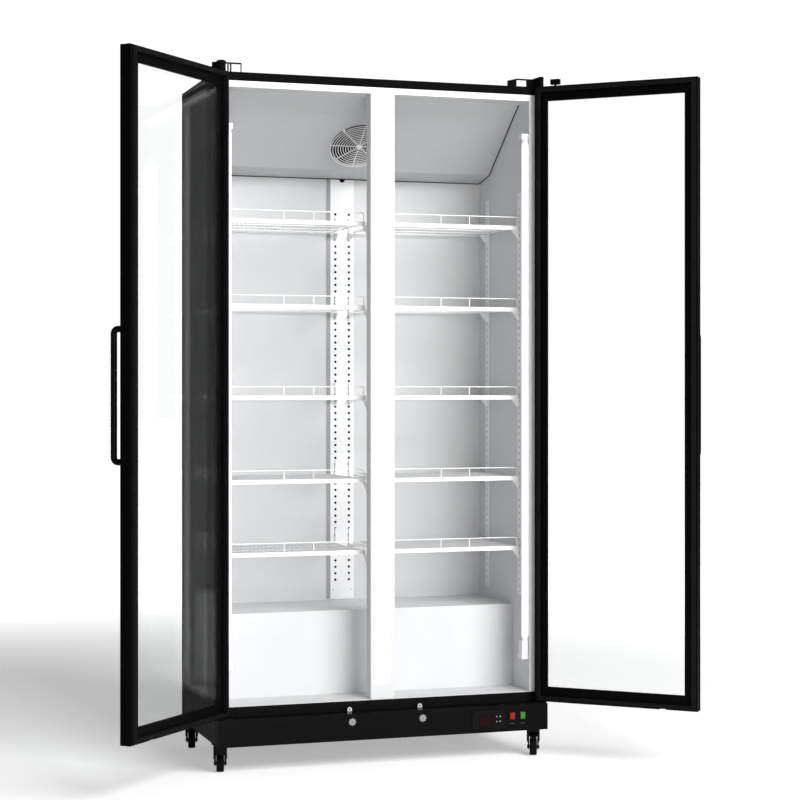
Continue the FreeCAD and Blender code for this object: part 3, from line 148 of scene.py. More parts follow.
# Near-black for discs in the standards' holes: painted shade of their depth.
M["painted_hole_shade"] = finish_mat("painted_hole_shade", (0.006, 0.006, 0.0065), (0.009, 0.009, 0.0095), 0.7, 0.8, 60, 900, 0.0, spec=0.05)
M["fan_black"] = finish_mat("fan_black", (0.022, 0.022, 0.024), (0.032, 0.032, 0.034), 0.40, 0.50, 12, 800, 0.00004, spec=0.2)
M["plastic_black"] = finish_mat("plastic_black", (0.003, 0.003, 0.0033), (0.0045, 0.0045, 0.0048), 0.38, 0.48, 18, 1400, 0.00004, spec=0.10)
M["caster_black"] = finish_mat("caster_black", (0.0022, 0.0022, 0.0024), (0.0034, 0.0034, 0.0037), 0.36, 0.46, 25, 900, 0.00005, spec=0.10)
M["tyre_black"] = finish_mat("tyre_black", (0.003, 0.003, 0.0033), (0.005, 0.005, 0.0053), 0.60, 0.78, 25, 500, 0.00010, spec=0.08)
M["hub_grey"] = finish_mat("hub_grey", (0.012, 0.012, 0.013), (0.018, 0.018, 0.019), 0.40, 0.52, 25, 600, 0.00005, spec=0.2)
M["chrome"] = finish_mat("chrome", (0.74, 0.74, 0.75), (0.80, 0.80, 0.81), 0.10, 0.20, 30, 400, 0.00002, metal=1.0)
M["zinc"] = finish_mat("zinc", (0.58, 0.59, 0.60), (0.68, 0.69, 0.70), 0.28, 0.42, 40, 300, 0.00003, metal=1.0)
M["lock_satin"] = finish_mat("lock_satin", (0.24, 0.243, 0.247), (0.29, 0.293, 0.297), 0.36, 0.46, 40, 300, 0.00003, metal=0.2, spec=0.4)
M["lock_collar"] = finish_mat("lock_collar", (0.035, 0.035, 0.037), (0.05, 0.05, 0.052), 0.34, 0.44, 30, 400, 0.00002, metal=1.0)
M["motor_steel"] = finish_mat("motor_steel", (0.30, 0.30, 0.31), (0.40, 0.40, 0.41), 0.34, 0.50, 20, 500, 0.00003, metal=1.0)
M["fins"] = finish_mat("fins", (0.60, 0.61, 0.62), (0.74, 0.75, 0.76), 0.28, 0.40, 12, 300, 0.0, metal=1.0)
M["copper"] = finish_mat("copper", (0.72, 0.33, 0.19), (0.80, 0.42, 0.26), 0.22, 0.34, 30, 400, 0.00002, metal=1.0)
M["foam"] = finish_mat("foam", (0.72, 0.62, 0.36), (0.80, 0.71, 0.46), 0.85, 0.95, 12, 300, 0.0005, spec=0.1)
M["button_grey"] = finish_mat("button_grey", (0.30, 0.305, 0.315), (0.36, 0.365, 0.375), 0.30, 0.38, 60, 900, 0.00002, spec=0.3)
M["mark_grey"] = finish_mat("mark_grey", (0.018, 0.018, 0.019), (0.026, 0.026, 0.027), 0.5, 0.6, 60, 900, 0.0, spec=0.3)
M["compressor"] = finish_mat("compressor", (0.012, 0.012, 0.013), (0.018, 0.018, 0.019), 0.30, 0.42, 10, 400, 0.00015, spec=0.45)
M["holder_white"] = finish_mat("holder_white", (0.80, 0.805, 0.81), (0.84, 0.845, 0.85), 0.32, 0.42, 20, 700, 0.00003, spec=0.4)

# Galvanised sheet: metal flakes of differing tone and roughness.
m, nt, p, out = nodes_of("galvanised")
tc = nt.nodes.new("ShaderNodeTexCoord")
vo = nt.nodes.new("ShaderNodeTexVoronoi")
vo.inputs["Scale"].default_value = 75
nt.links.new(tc.outputs["Object"], vo.inputs["Vector"])
sep = nt.nodes.new("ShaderNodeSeparateColor")
nt.links.new(vo.outputs["Color"], sep.inputs[0])
nt.links.new(blendcol(nt, sep.outputs[0], (0.40, 0.41, 0.42), (0.56, 0.57, 0.585)), p.inputs["Base Color"])
nt.links.new(ramp(nt, sep.outputs[1], 0.32, 0.48, 0, 1), p.inputs["Roughness"])
bump(nt, noise(nt, 420, 3).outputs[0], p, 0.00003)
setp(p, metal=1.0)
M["galvanised"] = m


def lit(name, colour, strength, rough=0.35):
    """White diffuser that also gives light; its colour and roughness vary in a fine mottle."""
    m, nt, p, out = nodes_of(name)
    n = noise(nt, 60, 3)
    nt.links.new(blendcol(nt, ramp(nt, n.outputs[0], 0, 1), (0.86, 0.87, 0.88), (0.90, 0.905, 0.91)), p.inputs["Base Color"])
    nt.links.new(ramp(nt, n.outputs[0], rough - 0.04, rough + 0.04), p.inputs["Roughness"])
    p.inputs["Emission Color"].default_value = (*colour, 1)
    p.inputs["Emission Strength"].default_value = strength
    return m


M["lamp"] = lit("lamp", (1.0, 1.0, 1.0), 0.75)
M["lamp_cover"] = lit("lamp_cover", (1.0, 1.0, 1.0), 0.25)


def glass_mat(name, tint, ior):
    m, nt, p, out = nodes_of(name)
    p.inputs["Base Color"].default_value = (*tint, 1)
    setp(p, trans=1.0, ior=ior, rough=0.0)
    nt.links.new(ramp(nt, noise(nt, 4, 2).outputs[0], 0.0, 0.012), p.inputs["Roughness"])
    lp = nt.nodes.new("ShaderNodeLightPath")
    tr = nt.nodes.new("ShaderNodeBsdfTransparent")
    tr.inputs[0].default_value = (0.97, 0.975, 0.975, 1)
    mx = nt.nodes.new("ShaderNodeMixShader")
    nt.links.new(lp.outputs["Is Shadow Ray"], mx.inputs[0])
    nt.links.new(p.outputs[0], mx.inputs[1])
    nt.links.new(tr.outputs[0], mx.inputs[2])
    nt.links.new(mx.outputs[0], out.inputs[0])
    return m


M["door_glass"] = glass_mat("door_glass", (0.985, 0.992, 0.99), 1.17)


def tinted(name, c0, c1, coat, glow=0.0, rough=0.22, spec=0.25):
    m, nt, p, out = nodes_of(name)
    n = noise(nt, 90, 2)
    nt.links.new(blendcol(nt, ramp(nt, n.outputs[0], 0, 1), c0, c1), p.inputs["Base Color"])
    nt.links.new(ramp(nt, n.outputs[0], rough - 0.04, rough + 0.05), p.inputs["Roughness"])
    setp(p, coat=coat, coat_rough=0.12, spec=spec)
    if glow:
        p.inputs["Emission Color"].default_value = (*c0, 1)
        p.inputs["Emission Strength"].default_value = glow
    return m


M["rocker_red"] = tinted("rocker_red", (0.28, 0.007, 0.008), (0.34, 0.010, 0.011), 0.05, 0.0, 0.34)
M["rocker_green"] = tinted("rocker_green", (0.045, 0.17, 0.018), (0.060, 0.21, 0.026), 0.05, 0.0, 0.34)
M["lens_red"] = tinted("lens_red", (0.0075, 0.0016, 0.0024), (0.0100, 0.0024, 0.0034), 0.0, rough=0.34, spec=0.08)
M["segment_red"] = tinted("segment_red", (0.013, 0.0035, 0.0045), (0.017, 0.0045, 0.0055), 0.0, rough=0.34, spec=0.08)

SLOT_MAT = {"black_coat": "black_coat", "galvanised": "galvanised", "door_black": "door_black", "door_glass": "door_glass", "door_seal": "door_seal",
            "liner_white": "liner_white", "white_coat": "white_coat", "lamp_white": "lamp", "foam": "foam", "fan_black": "fan_black",
            "motor_steel": "motor_steel", "fin_aluminium": "fins", "lock_chrome": "chrome", "lock_steel": "zinc", "button_grey": "button_grey",
            "rocker_red": "rocker_red", "rocker_green": "rocker_green", "caster_black": "caster_black", "caster_zinc": "caster_black", "caster_tyre": "tyre_black",
            "brake_black": "plastic_black"}
# The evaporator coil takes the fan black: painted shade for the dark space behind the fan guard.
NODE_MAT = {"outer_panels": "side_coat", "left_door_handle": "handle_black", "right_door_handle": "handle_black", "compressor": "compressor",
            "breaker_strip": "strip_white", "evaporator_coil": "fan_black", "evaporator_fan_motor": "fan_black", "evaporator_cover": "cover_painted_shade_white", "mullion_lamp_cover": "lamp_cover", "shelf_guards": "wire_white", "shelf_decks": "wire_white", "shelf_clips": "wire_white",
            "cable_gland": "plastic_black", "controller_body": "plastic_black", "rocker_bezels": "plastic_black", "lamp_holders": "holder_white"}


# ------------------------------------------------------------------ CAD nodes: material, softened edges
def soften(o, width, seg=2, angle=32):
    w = o.modifiers.new("weld", "WELD")
    w.merge_threshold = 0.000002
    d = o.modifiers.new("plane", "DECIMATE")
    d.decimate_type = "DISSOLVE"
    d.angle_limit = math.radians(0.6)
    b = o.modifiers.new("edge", "BEVEL")
    b.width = width
    b.segments = seg
    b.limit_method = "ANGLE"
    b.angle_limit = math.radians(angle)
    b.use_clamp_overlap = True
    b.miter_outer = "MITER_ARC"
    t = o.modifiers.new("tri", "TRIANGULATE")
    t.keep_custom_normals = False
    n = o.modifiers.new("normals", "WEIGHTED_NORMAL")
    n.keep_sharp = True
    n.weight = 80


EDGE = {"front_frame": 0.0005, "outer_panels": 0.0004, "base_front_panel": 0.0005, "hinge_brackets": 0.0006,
        "left_door_frame": 0.0012, "right_door_frame": 0.0012, "centre_mullion": 0.0015, "evaporator_cover": 0.0005,
        "lock_bolt_left": 0.0004, "lock_bolt_right": 0.0004, "shelf_clips": 0.0003}
for name, o in NODES.items():
    mat = M[NODE_MAT.get(name) or SLOT_MAT[SLOTS[name]]]
    if not o.material_slots:
        o.data.materials.append(mat)
    for s in o.material_slots:
        s.material = mat
    if name in EDGE:
        soften(o, EDGE[name])


# ------------------------------------------------------------------ mesh builder
class Build:
    """Collects closed shells in one mesh. Coordinates are metres in the row frame, or millimetres with mm=True."""

    def __init__(self, mm=True):
        self.v, self.f, self.k = [], [], (0.001 if mm else 1.0)

    def add(self, verts, faces, mat=None):
        n = len(self.v)
        for p in verts:
            p = Vector(p)
            if mat is not None:
                p = mat @ p
            self.v.append(tuple(p * self.k))
        self.f += [tuple(i + n for i in f) for f in faces]

    def box(self, x0, x1, y0, y1, z0, z1, mat=None):
        v = [(x, y, z) for z in (z0, z1) for y in (y0, y1) for x in (x0, x1)]
        f = [(0, 2, 3, 1), (4, 5, 7, 6), (0, 1, 5, 4), (2, 6, 7, 3), (0, 4, 6, 2), (1, 3, 7, 5)]
        self.add(v, f, mat)

    def prism(self, pts, h0, h1, axis="Z", mat=None):
        """Outline in the plane across the axis, between h0 and h1."""
        n = len(pts)

        def at(a, b, h):
            return {"Z": (a, b, h), "Y": (a, h, b), "X": (h, a, b)}[axis]
        v = [at(a, b, h0) for a, b in pts] + [at(a, b, h1) for a, b in pts]
        f = [tuple(reversed(range(n))), tuple(range(n, 2 * n))] + [(i, (i + 1) % n, n + (i + 1) % n, n + i) for i in range(n)]
        if axis == "Y":
            f = [tuple(reversed(q)) for q in f]
        self.add(v, f, mat)

    def tube(self, pts, r, n=10, closed=False, mat=None, up=None):
        pts = [Vector(p) for p in pts]
        cnt = len(pts)
        tang = []
        for i in range(cnt):
            if closed:
                t = pts[(i + 1) % cnt] - pts[i - 1]
            else:
                t = pts[min(i + 1, cnt - 1)] - pts[max(i - 1, 0)]
            tang.append(t.normalized())
        ref = Vector(up) if up else (Vector((0, 0, 1)) if abs(tang[0].z) < 0.9 else Vector((1, 0, 0)))
        a = (ref - tang[0] * ref.dot(tang[0])).normalized()
        v, f = [], []
        for i in range(cnt):
            a = (a - tang[i] * a.dot(tang[i])).normalized()
            b = tang[i].cross(a)
            rr = r[i] if isinstance(r, (list, tuple)) else r
            for k in range(n):
                ang = 2 * PI * k / n
                v.append(pts[i] + (a * math.cos(ang) + b * math.sin(ang)) * rr)
        m = cnt if closed else cnt - 1
        for i in range(m):
            for k in range(n):
                p, q = i * n, ((i + 1) % cnt) * n
                f.append((p + k, p + (k + 1) % n, q + (k + 1) % n, q + k))
        if not closed:
            f.append(tuple(reversed(range(n))))
            f.append(tuple(range((cnt - 1) * n, cnt * n)))
        self.add(v, f, mat)

    def lathe(self, prof, n=32, mat=None):
        """Closed ring or solid of revolution about local Z from (radius, height) points; radius 0 closes at the axis."""
        v, f, rows = [], [], []
        for r, z in prof:
            if r < 1e-9:
                rows.append([len(v)])
                v.append((0, 0, z))
            else:
                rows.append(list(range(len(v), len(v) + n)))
                v += [(r * math.cos(2 * PI * k / n), r * math.sin(2 * PI * k / n), z) for k in range(n)]
        solid = prof[0][0] < 1e-9 and prof[-1][0] < 1e-9
        pairs = list(zip(rows, rows[1:])) + ([] if solid else [(rows[-1], rows[0])])
        for a, b in pairs:
            for k in range(n):
                k1 = (k + 1) % n
                q = []
                q.append(a[k if len(a) > 1 else 0])
                if len(a) > 1:
                    q.append(a[k1])
                q.append(b[k1 if len(b) > 1 else 0])
                if len(b) > 1:
                    q.append(b[k])
                if len(set(q)) > 2:
                    f.append(tuple(q))
        self.add(v, f, mat)

    def torus(self, R, r, n=64, m=8, mat=None, z=0.0):
        self.lathe([(R + r * math.cos(2 * PI * k / m), z + r * math.sin(2 * PI * k / m)) for k in range(m)], n, mat)

    def make(self, name, mat, body, slot=None, bevel=0.0, seg=2, smooth=35, replaces=()):
        me = bpy.data.meshes.new(name)
        me.from_pydata(self.v, [], self.f)
        bm = bmesh.new()
        bm.from_mesh(me)
        bmesh.ops.recalc_face_normals(bm, faces=bm.faces)
        bm.to_mesh(me)
        bm.free()
        me.materials.append(M[mat])
        for q in me.polygons:
            q.use_smooth = True
        me.set_sharp_from_angle(angle=math.radians(smooth))
        o = bpy.data.objects.new(name, me)
        scene.collection.objects.link(o)
        if bevel:
            b = o.modifiers.new("edge", "BEVEL")
            b.width, b.segments = bevel, seg
            b.limit_method, b.angle_limit = "ANGLE", math.radians(30)
            w = o.modifiers.new("normals", "WEIGHTED_NORMAL")
            w.keep_sharp = False
        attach(o, body)
        if replaces:
            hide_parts(*replaces)
        return o


def turn(axis, deg):
    return Matrix.Rotation(math.radians(deg), 4, axis)


def move(x, y, z):
    return Matrix.Translation((x, y, z))


def mmbox(node):
    lo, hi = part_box(node)
    return lo * 1000, hi * 1000


# Heads of small screws, shared by every place that has them.
PAN = [(0, 0), (3.4, 0), (3.4, 0.5), (3.0, 1.2), (2.0, 1.65), (0, 1.8)]


def screw(b, mat, r=3.4):
    """Pan head on the local XY plane, rising along +Z, with a cross recess drawn by four raised quarters."""
    k = r / 3.4
    b.lathe([(a * k, c * k) for a, c in PAN], 20, mat)
    for i in range(4):
        q = mat @ turn("Z", 90 * i)
        b.box(0.35 * k, 1.5 * k, 0.35 * k, 1.5 * k, 1.4 * k, 2.0 * k, q)


# ------------------------------------------------------------------ shelves
LEVEL = [1589, 1342, 1076, 832, 621]
X0, X1, Y0, Y1 = 32.0, 452.0, 70.0, 413.0
lo, hi = mmbox("shelf_decks")
assert abs(hi.x - X1) < 0.2 and abs(lo.y - Y0) < 0.2 and abs(hi.z - LEVEL[0]) < 0.2
deck = Build()
rails = Build()
for side in (-1, 1):
    ox = -X1 if side < 0 else X0
    for z in LEVEL:
        L = X1 - X0
        mt = move(ox, 0, z)
        # flat front bar with rounded edges
        deck.prism([(Y0 + 0.6, -12.5), (Y0 + 2.4, -12.5), (Y0 + 3, -11.9), (Y0 + 3, -0.6), (Y0 + 2.4, 0), (Y0 + 0.6, 0), (Y0, -0.6), (Y0, -11.9)], 0, L, "X", mt)
        for x in (2.5, L - 2.5):
            deck.tube([(x, Y0 + 2, -4.5), (x, Y1 - 2.5, -4.5)], 2.4, 10, mat=mt)
        for y in (110, 211, 312, Y1 - 2.4):
            deck.tube([(0.5, y, -5.2), (L - 0.5, y, -5.2)], 1.9 if y < 400 else 2.2, 10, mat=mt)
        n = 31
        for i in range(n):
            x = 4 + (L - 8) * (i + 1) / (n + 1)
            deck.tube([(x, Y0 + 1.5, -1.6), (x, Y1 - 0.4, -1.6)], 1.5, 8, mat=mt)
        # guard wire: one bent wire with two posts
        y, R, top = Y0 + 1.5, 7.0, 26.0
        path = [(4, y, -2), (4, y, top - R)]
        path += [(4 + R - R * math.cos(a), y, top - R + R * math.sin(a)) for a in [PI / 2 * k / 6 for k in range(1, 7)]]
        path += [(L - 4 - R + R * math.sin(a), y, top - R + R * math.cos(a)) for a in [PI / 2 * k / 6 for k in range(0, 7)]]
        path += [(L - 4, y, -2)]
        rails.tube(path, 1.45, 10, mat=mt, up=(0, 1, 0))
        for x in (173, 263):
            rails.tube([(x, y, -1), (x, y, top)], 1.45, 10, mat=mt)
deck.make("shelf_wires", "wire_white", "cabinet", "white_coat", replaces=("shelf_decks",))
rails.make("shelf_guard_wires", "wire_white", "cabinet", "white_coat", replaces=("shelf_guards",))

# ------------------------------------------------------------------ evaporator fan guard and wheel
FAN = Vector(JOINT["evaporator_fan_spin"]["pos_m"]) * 1000
nrm = Vector(JOINT["evaporator_fan_spin"]["axis"]).normalized()
ex = Vector((1, 0, 0))
ey = nrm.cross(ex).normalized()
PLATE = Matrix(((ex.x, ey.x, nrm.x, FAN.x), (ex.y, ey.y, nrm.y, FAN.y), (ex.z, ey.z, nrm.z, FAN.z), (0, 0, 0, 1)))
g = Build()
for i in range(11):
    g.torus(90 - 1.1 - 7.8 * i, 1.1, 72, 8, PLATE, 9.0)
g.lathe([(0, 7.6), (7.6, 7.6), (8, 8.0), (8, 9.4), (7.2, 10.1), (0, 10.1)], 28, PLATE)
for i in range(8):
    a0 = 2 * PI * i / 8
    pts = []
    for k in range(9):
        t = k / 8
        a = a0
        r = 6 + 83.5 * t
        pts.append((r * math.cos(a), r * math.sin(a), 6.9))
    g.tube(pts, 1.2, 8, mat=PLATE)
for i in range(4):
    a = math.radians(45 + 90 * i)
    q = PLATE @ turn("Z", 45 + 90 * i)
    g.lathe([(0, 0), (4.2, 0), (4.2, 2.0), (3.2, 2.6), (0, 2.8)], 20, q @ move(88.0, 0, 0))
    g.tube([(84, 0, 8.6), (87.4, 0, 8.2), (88, 0, 6), (88, 0, 1.5)], 1.3, 8, mat=q)
g.make("fan_guard_wires", "wire_white", "cabinet", "white_coat", replaces=("fan_guard",))
# thin lip of the fan's bore in the sloping sheet, drawn in the fan black as painted shade inside the bore
lip = Build()
lip.lathe([(80.0, -1.9), (80.0, 0.3), (80.3, 0.6), (86.2, 0.6), (86.5, 0.3), (86.5, 0.02), (80.9, 0.0), (80.9, -1.9)], 72, PLATE)
lip.make("fan_bore_lip", "fan_black", "cabinet", "white_coat")


def fan_blades(b, mat, hub, R, z0, z1, count, pitch, chord, lean):
    """Hub ring with a chamfered top edge and swept blades: each blade is a thin cambered sheet."""
    b.lathe([(4.05, z0), (hub, z0), (hub, z1 - 2), (hub - 2, z1), (4.05, z1)], 40, mat)
    for i in range(count):
        base = 2 * PI * i / count
        ns, nc = 9, 7
        tops, bots = [], []
        for s in range(ns):
            t = s / (ns - 1)
            r = hub - 1 + (R - hub + 1) * t
            wdt = chord * (0.62 + 0.55 * t - 0.22 * t * t * t)
            pit = math.radians(pitch * (1.15 - 0.35 * t))
            sweep = lean * t * t
            for c in range(nc):
                u = c / (nc - 1) - 0.5
                camber = 0.10 * wdt * (1 - 4 * u * u)
                along = u * wdt * math.cos(pit)
                h = u * wdt * math.sin(pit) + camber * 0.8
                edge = 1.0 - 0.35 * max(0, t - 0.85) / 0.15 * abs(2 * u) ** 2
                rr = min(r * (1 if t < 0.85 else edge * 0.06 + 0.94), R - 0.3)
                a = base + sweep + along / max(r, 12)
                zc = (z0 + z1) / 2
                th = 0.55 * (1 - 0.5 * abs(2 * u) ** 3)
                hh = max(z0 + 0.2, min(z1 - 0.2, zc + h))
                tops.append((rr * math.cos(a), rr * math.sin(a), min(z1, hh + th)))
                bots.append((rr * math.cos(a), rr * math.sin(a), max(z0, hh - th)))
        v = tops + bots
        o = len(tops)
        f = []
        for s in range(ns - 1):
            for c in range(nc - 1):
                p = s * nc + c
                f.append((p, p + 1, p + nc + 1, p + nc))
                f.append((o + p, o + p + nc, o + p + nc + 1, o + p + 1))
        ring = [c for c in range(nc)] + [s * nc + nc - 1 for s in range(1, ns)] + [(ns - 1) * nc + c for c in range(nc - 2, -1, -1)] + [s * nc for s in range(ns - 2, 0, -1)]
        for k in range(len(ring)):
            p, q = ring[k], ring[(k + 1) % len(ring)]
            f.append((p, o + p, o + q, q))
        b.add(v, f, mat)


w = Build()
fan_blades(w, PLATE, 14, 73.6, -22.0, -6.0, 5, 27, 34, -0.35)
w.make("evaporator_fan_wheel", "fan_black", "evaporator_fan", "fan_black", smooth=50, replaces=("evaporator_fan_blade",))
CF = Vector(JOINT["condenser_fan_spin"]["pos_m"]) * 1000
w = Build()
fan_blades(w, move(*CF) @ turn("X", 90), 16, 109.5, -10.0, 10.0, 5, 24, 58, -0.3)
w.make("condenser_fan_wheel", "fan_black", "condenser_fan", "fan_black", smooth=50, replaces=("condenser_fan_blade",))

# ------------------------------------------------------------------ side lamps
tube, caps = Build(), Build()
LAMP_BACK = {-1: 41.5, 1: 0.0}
for s in (-1, 1):
    mt = move(s * 449.4, 10.5 + LAMP_BACK[s], 0)
    tube.lathe([(0, 354), (9.2, 354), (9.3, 356), (9.3, 1829), (9.2, 1831), (0, 1831)], 32, mt)
    for z, up in ((342, 1), (1843, -1)):
        caps.lathe([(0, z), (9.0, z), (9.5, z + 0.7 * up), (9.5, z + 12 * up), (9.0, z + 13 * up), (0, z + 13 * up)], 32, mt)
tube.make("lamp_tubes", "lamp", "cabinet", "lamp_white", replaces=("side_lamp_tubes",))
caps.make("lamp_end_caps", "holder_white", "cabinet", "lamp_white")
hold = Build()
for s in (-1, 1):
    a, b2 = (437, 459)
    xs = sorted((s * a, s * b2))
    k = LAMP_BACK[s]
    hold.box(xs[0], xs[1], 3 + k, (36 if s > 0 else 22) + k, 286, 300)
    hold.box(xs[0] + 1, xs[1] - 1, 3 + k, (32 if s > 0 else 21) + k, 300, 342)
    hold.box(xs[0], xs[1], 3 + k, (27 if s > 0 else 22) + k, 1843, 1860)
hold.make("lamp_holder_blocks", "holder_white", "cabinet", "liner_white", bevel=0.0018, seg=3, replaces=("lamp_holders",))

# ------------------------------------------------------------------ mullion: cover strip ends and its two snap lines
ms = Build()
for z in (233.6, 1931.4):
    ms.box(-25, 25, -0.0, 2.6, z - 0.5, z + 0.5)
for x in (-25.2, 25.2):
    ms.box(x - 0.25, x + 0.25, 0.0, 2.6, 233, 1932)
ms.make("mullion_cover_lines", "strip_white", "cabinet", "liner_white")

# ------------------------------------------------------------------ screws on white sheet metal, in a darker white as painted shade
ws = Build()
slope = Matrix(((ex.x, ey.x, nrm.x, FAN.x), (ex.y, ey.y, nrm.y, FAN.y), (ex.z, ey.z, nrm.z, FAN.z), (0, 0, 0, 1)))
for x in (-440, -300, -140, 140, 300, 440):
    for t in (-128, 95):
        screw(ws, slope @ move(x, -t, 0), 2.6)
for x in (-105, 105):
    for t in (-66, 66):
        screw(ws, slope @ move(x, t, 0), 2.6)
for z in (470, 1110):
    for x in (-30, 30):
        screw(ws, move(x, 422.5, z) @ turn("X", 90), 2.4)
for s in (-1, 1):
    for y in (76, 352):
        for z in (482, 1070, 1672):
            screw(ws, move(s * 457, y, z) @ turn("Y", -90 * s), 2.4)
ws.make("white_screws", "screw_painted_shade_white", "cabinet", "white_coat")

# ------------------------------------------------------------------ painted shade: dark discs in the standards' holes and behind the top notch, and a grey strip on the centre standard's edge
hl = Build()
for k in range(58):
    z = 500 + 20 * k
    for x in (-22, 22):
        hl.lathe([(0, -0.35), (3.9, -0.35), (3.9, 0.35), (0, 0.35)], 14, move(x, 424.3, z) @ turn("X", 90))
    for s in (-1, 1):
        for y in (76, 352):
            hl.lathe([(0, -0.3), (3.4, -0.3), (3.4, 0.3), (0, 0.3)], 12, move(s * 458.5, y, z) @ turn("Y", 90))
# Dark half disc behind the centre standard's top notch: painted shade.
half = [(9.0 * math.cos(PI + PI * k / 16), 1749.6 + 9.0 * math.sin(PI + PI * k / 16)) for k in range(17)]
hl.prism(half, 423.6, 424.5, "Y")
hl.make("standard_hole_painted_shade", "painted_hole_shade", "cabinet", "liner_white")
# dark strip round the evaporator cover, both ends and the back edge: a painted shadow line in the gaps against the
# walls
sb = Build()
KA, KB, KC = (80.0, 1957.0), (335.0, 1769.0), (425.0, 1751.8)
n1, n2 = Vector((-0.593, -0.805)), Vector((-0.188, -0.982))
nb = (n1 + n2).normalized()


def shadow_line_offset(q, n_, d_):
    return (q[0] + n_[0] * d_, q[1] + n_[1] * d_)


for s in (-1, 1):
    run = [shadow_line_offset(KA, n1, -0.4), shadow_line_offset(KB, nb, -0.4), shadow_line_offset(KC, n2, -0.4), shadow_line_offset(KC, n2, 0.9), shadow_line_offset(KB, nb, 0.9), shadow_line_offset(KA, n1, 0.9)]
    run[0] = (run[0][0] + 2.0, run[0][1] - 1.5)
    run[5] = (run[5][0] + 2.0, run[5][1] - 1.5)
    run[2] = (424.8, run[2][1])
    run[3] = (424.8, run[3][1])
    sb.prism(run, *sorted((s * 455.4, s * 458.8)), "X")
for x0, x1, y0, y1 in ((-455.2, -51.3, 423.7, 424.9), (-51.2, 38.2, 421.7, 422.45), (38.3, 455.2, 423.7, 424.9)):
    sb.box(x0, x1, y0, y1, 1748.9, 1751.5)
sb.make("evaporator_cover_shadow_line", "painted_gap_shadow", "cabinet", "white_coat")
# Grey strip on the centre standard's left edge: painted shade on its side face.
eg = Build()
eg.box(-50.9, -38.1, 422.94, 423.6, 440.5, 1750.5)
eg.make("standard_edge_painted_shade", "painted_edge_shade", "cabinet", "liner_white")

# ------------------------------------------------------------------ doors
PIV = {"left": Vector(JOINT["left_door_hinge"]["pos_m"]) * 1000, "right": Vector(JOINT["right_door_hinge"]["pos_m"]) * 1000}
OPEN = {"left": -JOINT["left_door_hinge"]["range_deg"][1], "right": -JOINT["right_door_hinge"]["range_deg"][0]}
PIN_IN, DF, DB = 13.0, 12.0, -19.0
REACH, STILE, RAIL, HOLD = 484.5, 38.5, 44.0, 14.0
ZL, ZH = 165.0, 1997.0


def door_matrix(side):
    """Local door frame to the room: u to the free edge, w to the back, z up, at the standing angle."""
    mt = move(PIV[side].x, PIV[side].y, 0) @ turn("Z", OPEN[side])
    if side == "right":
        mt = mt @ Matrix.Diagonal((-1, 1, 1, 1))
    return mt


def ring_sweep(b, u0, u1, z0, z1, prof, mat):
    """Profile (inward offset, w) carried round a rectangle with mitred corners."""
    n = len(prof)
    v, f = [], []
    for cu, cz, su, sz in ((u0, z0, 1, 1), (u1, z0, -1, 1), (u1, z1, -1, -1), (u0, z1, 1, -1)):
        for d, w_ in prof:
            v.append((cu + su * d, w_, cz + sz * d))
    for c in range(4):
        for k in range(n):
            a, c2 = c * n, ((c + 1) % 4) * n
            f.append((a + k, a + (k + 1) % n, c2 + (k + 1) % n, c2 + k))
    b.add(v, f, mat)


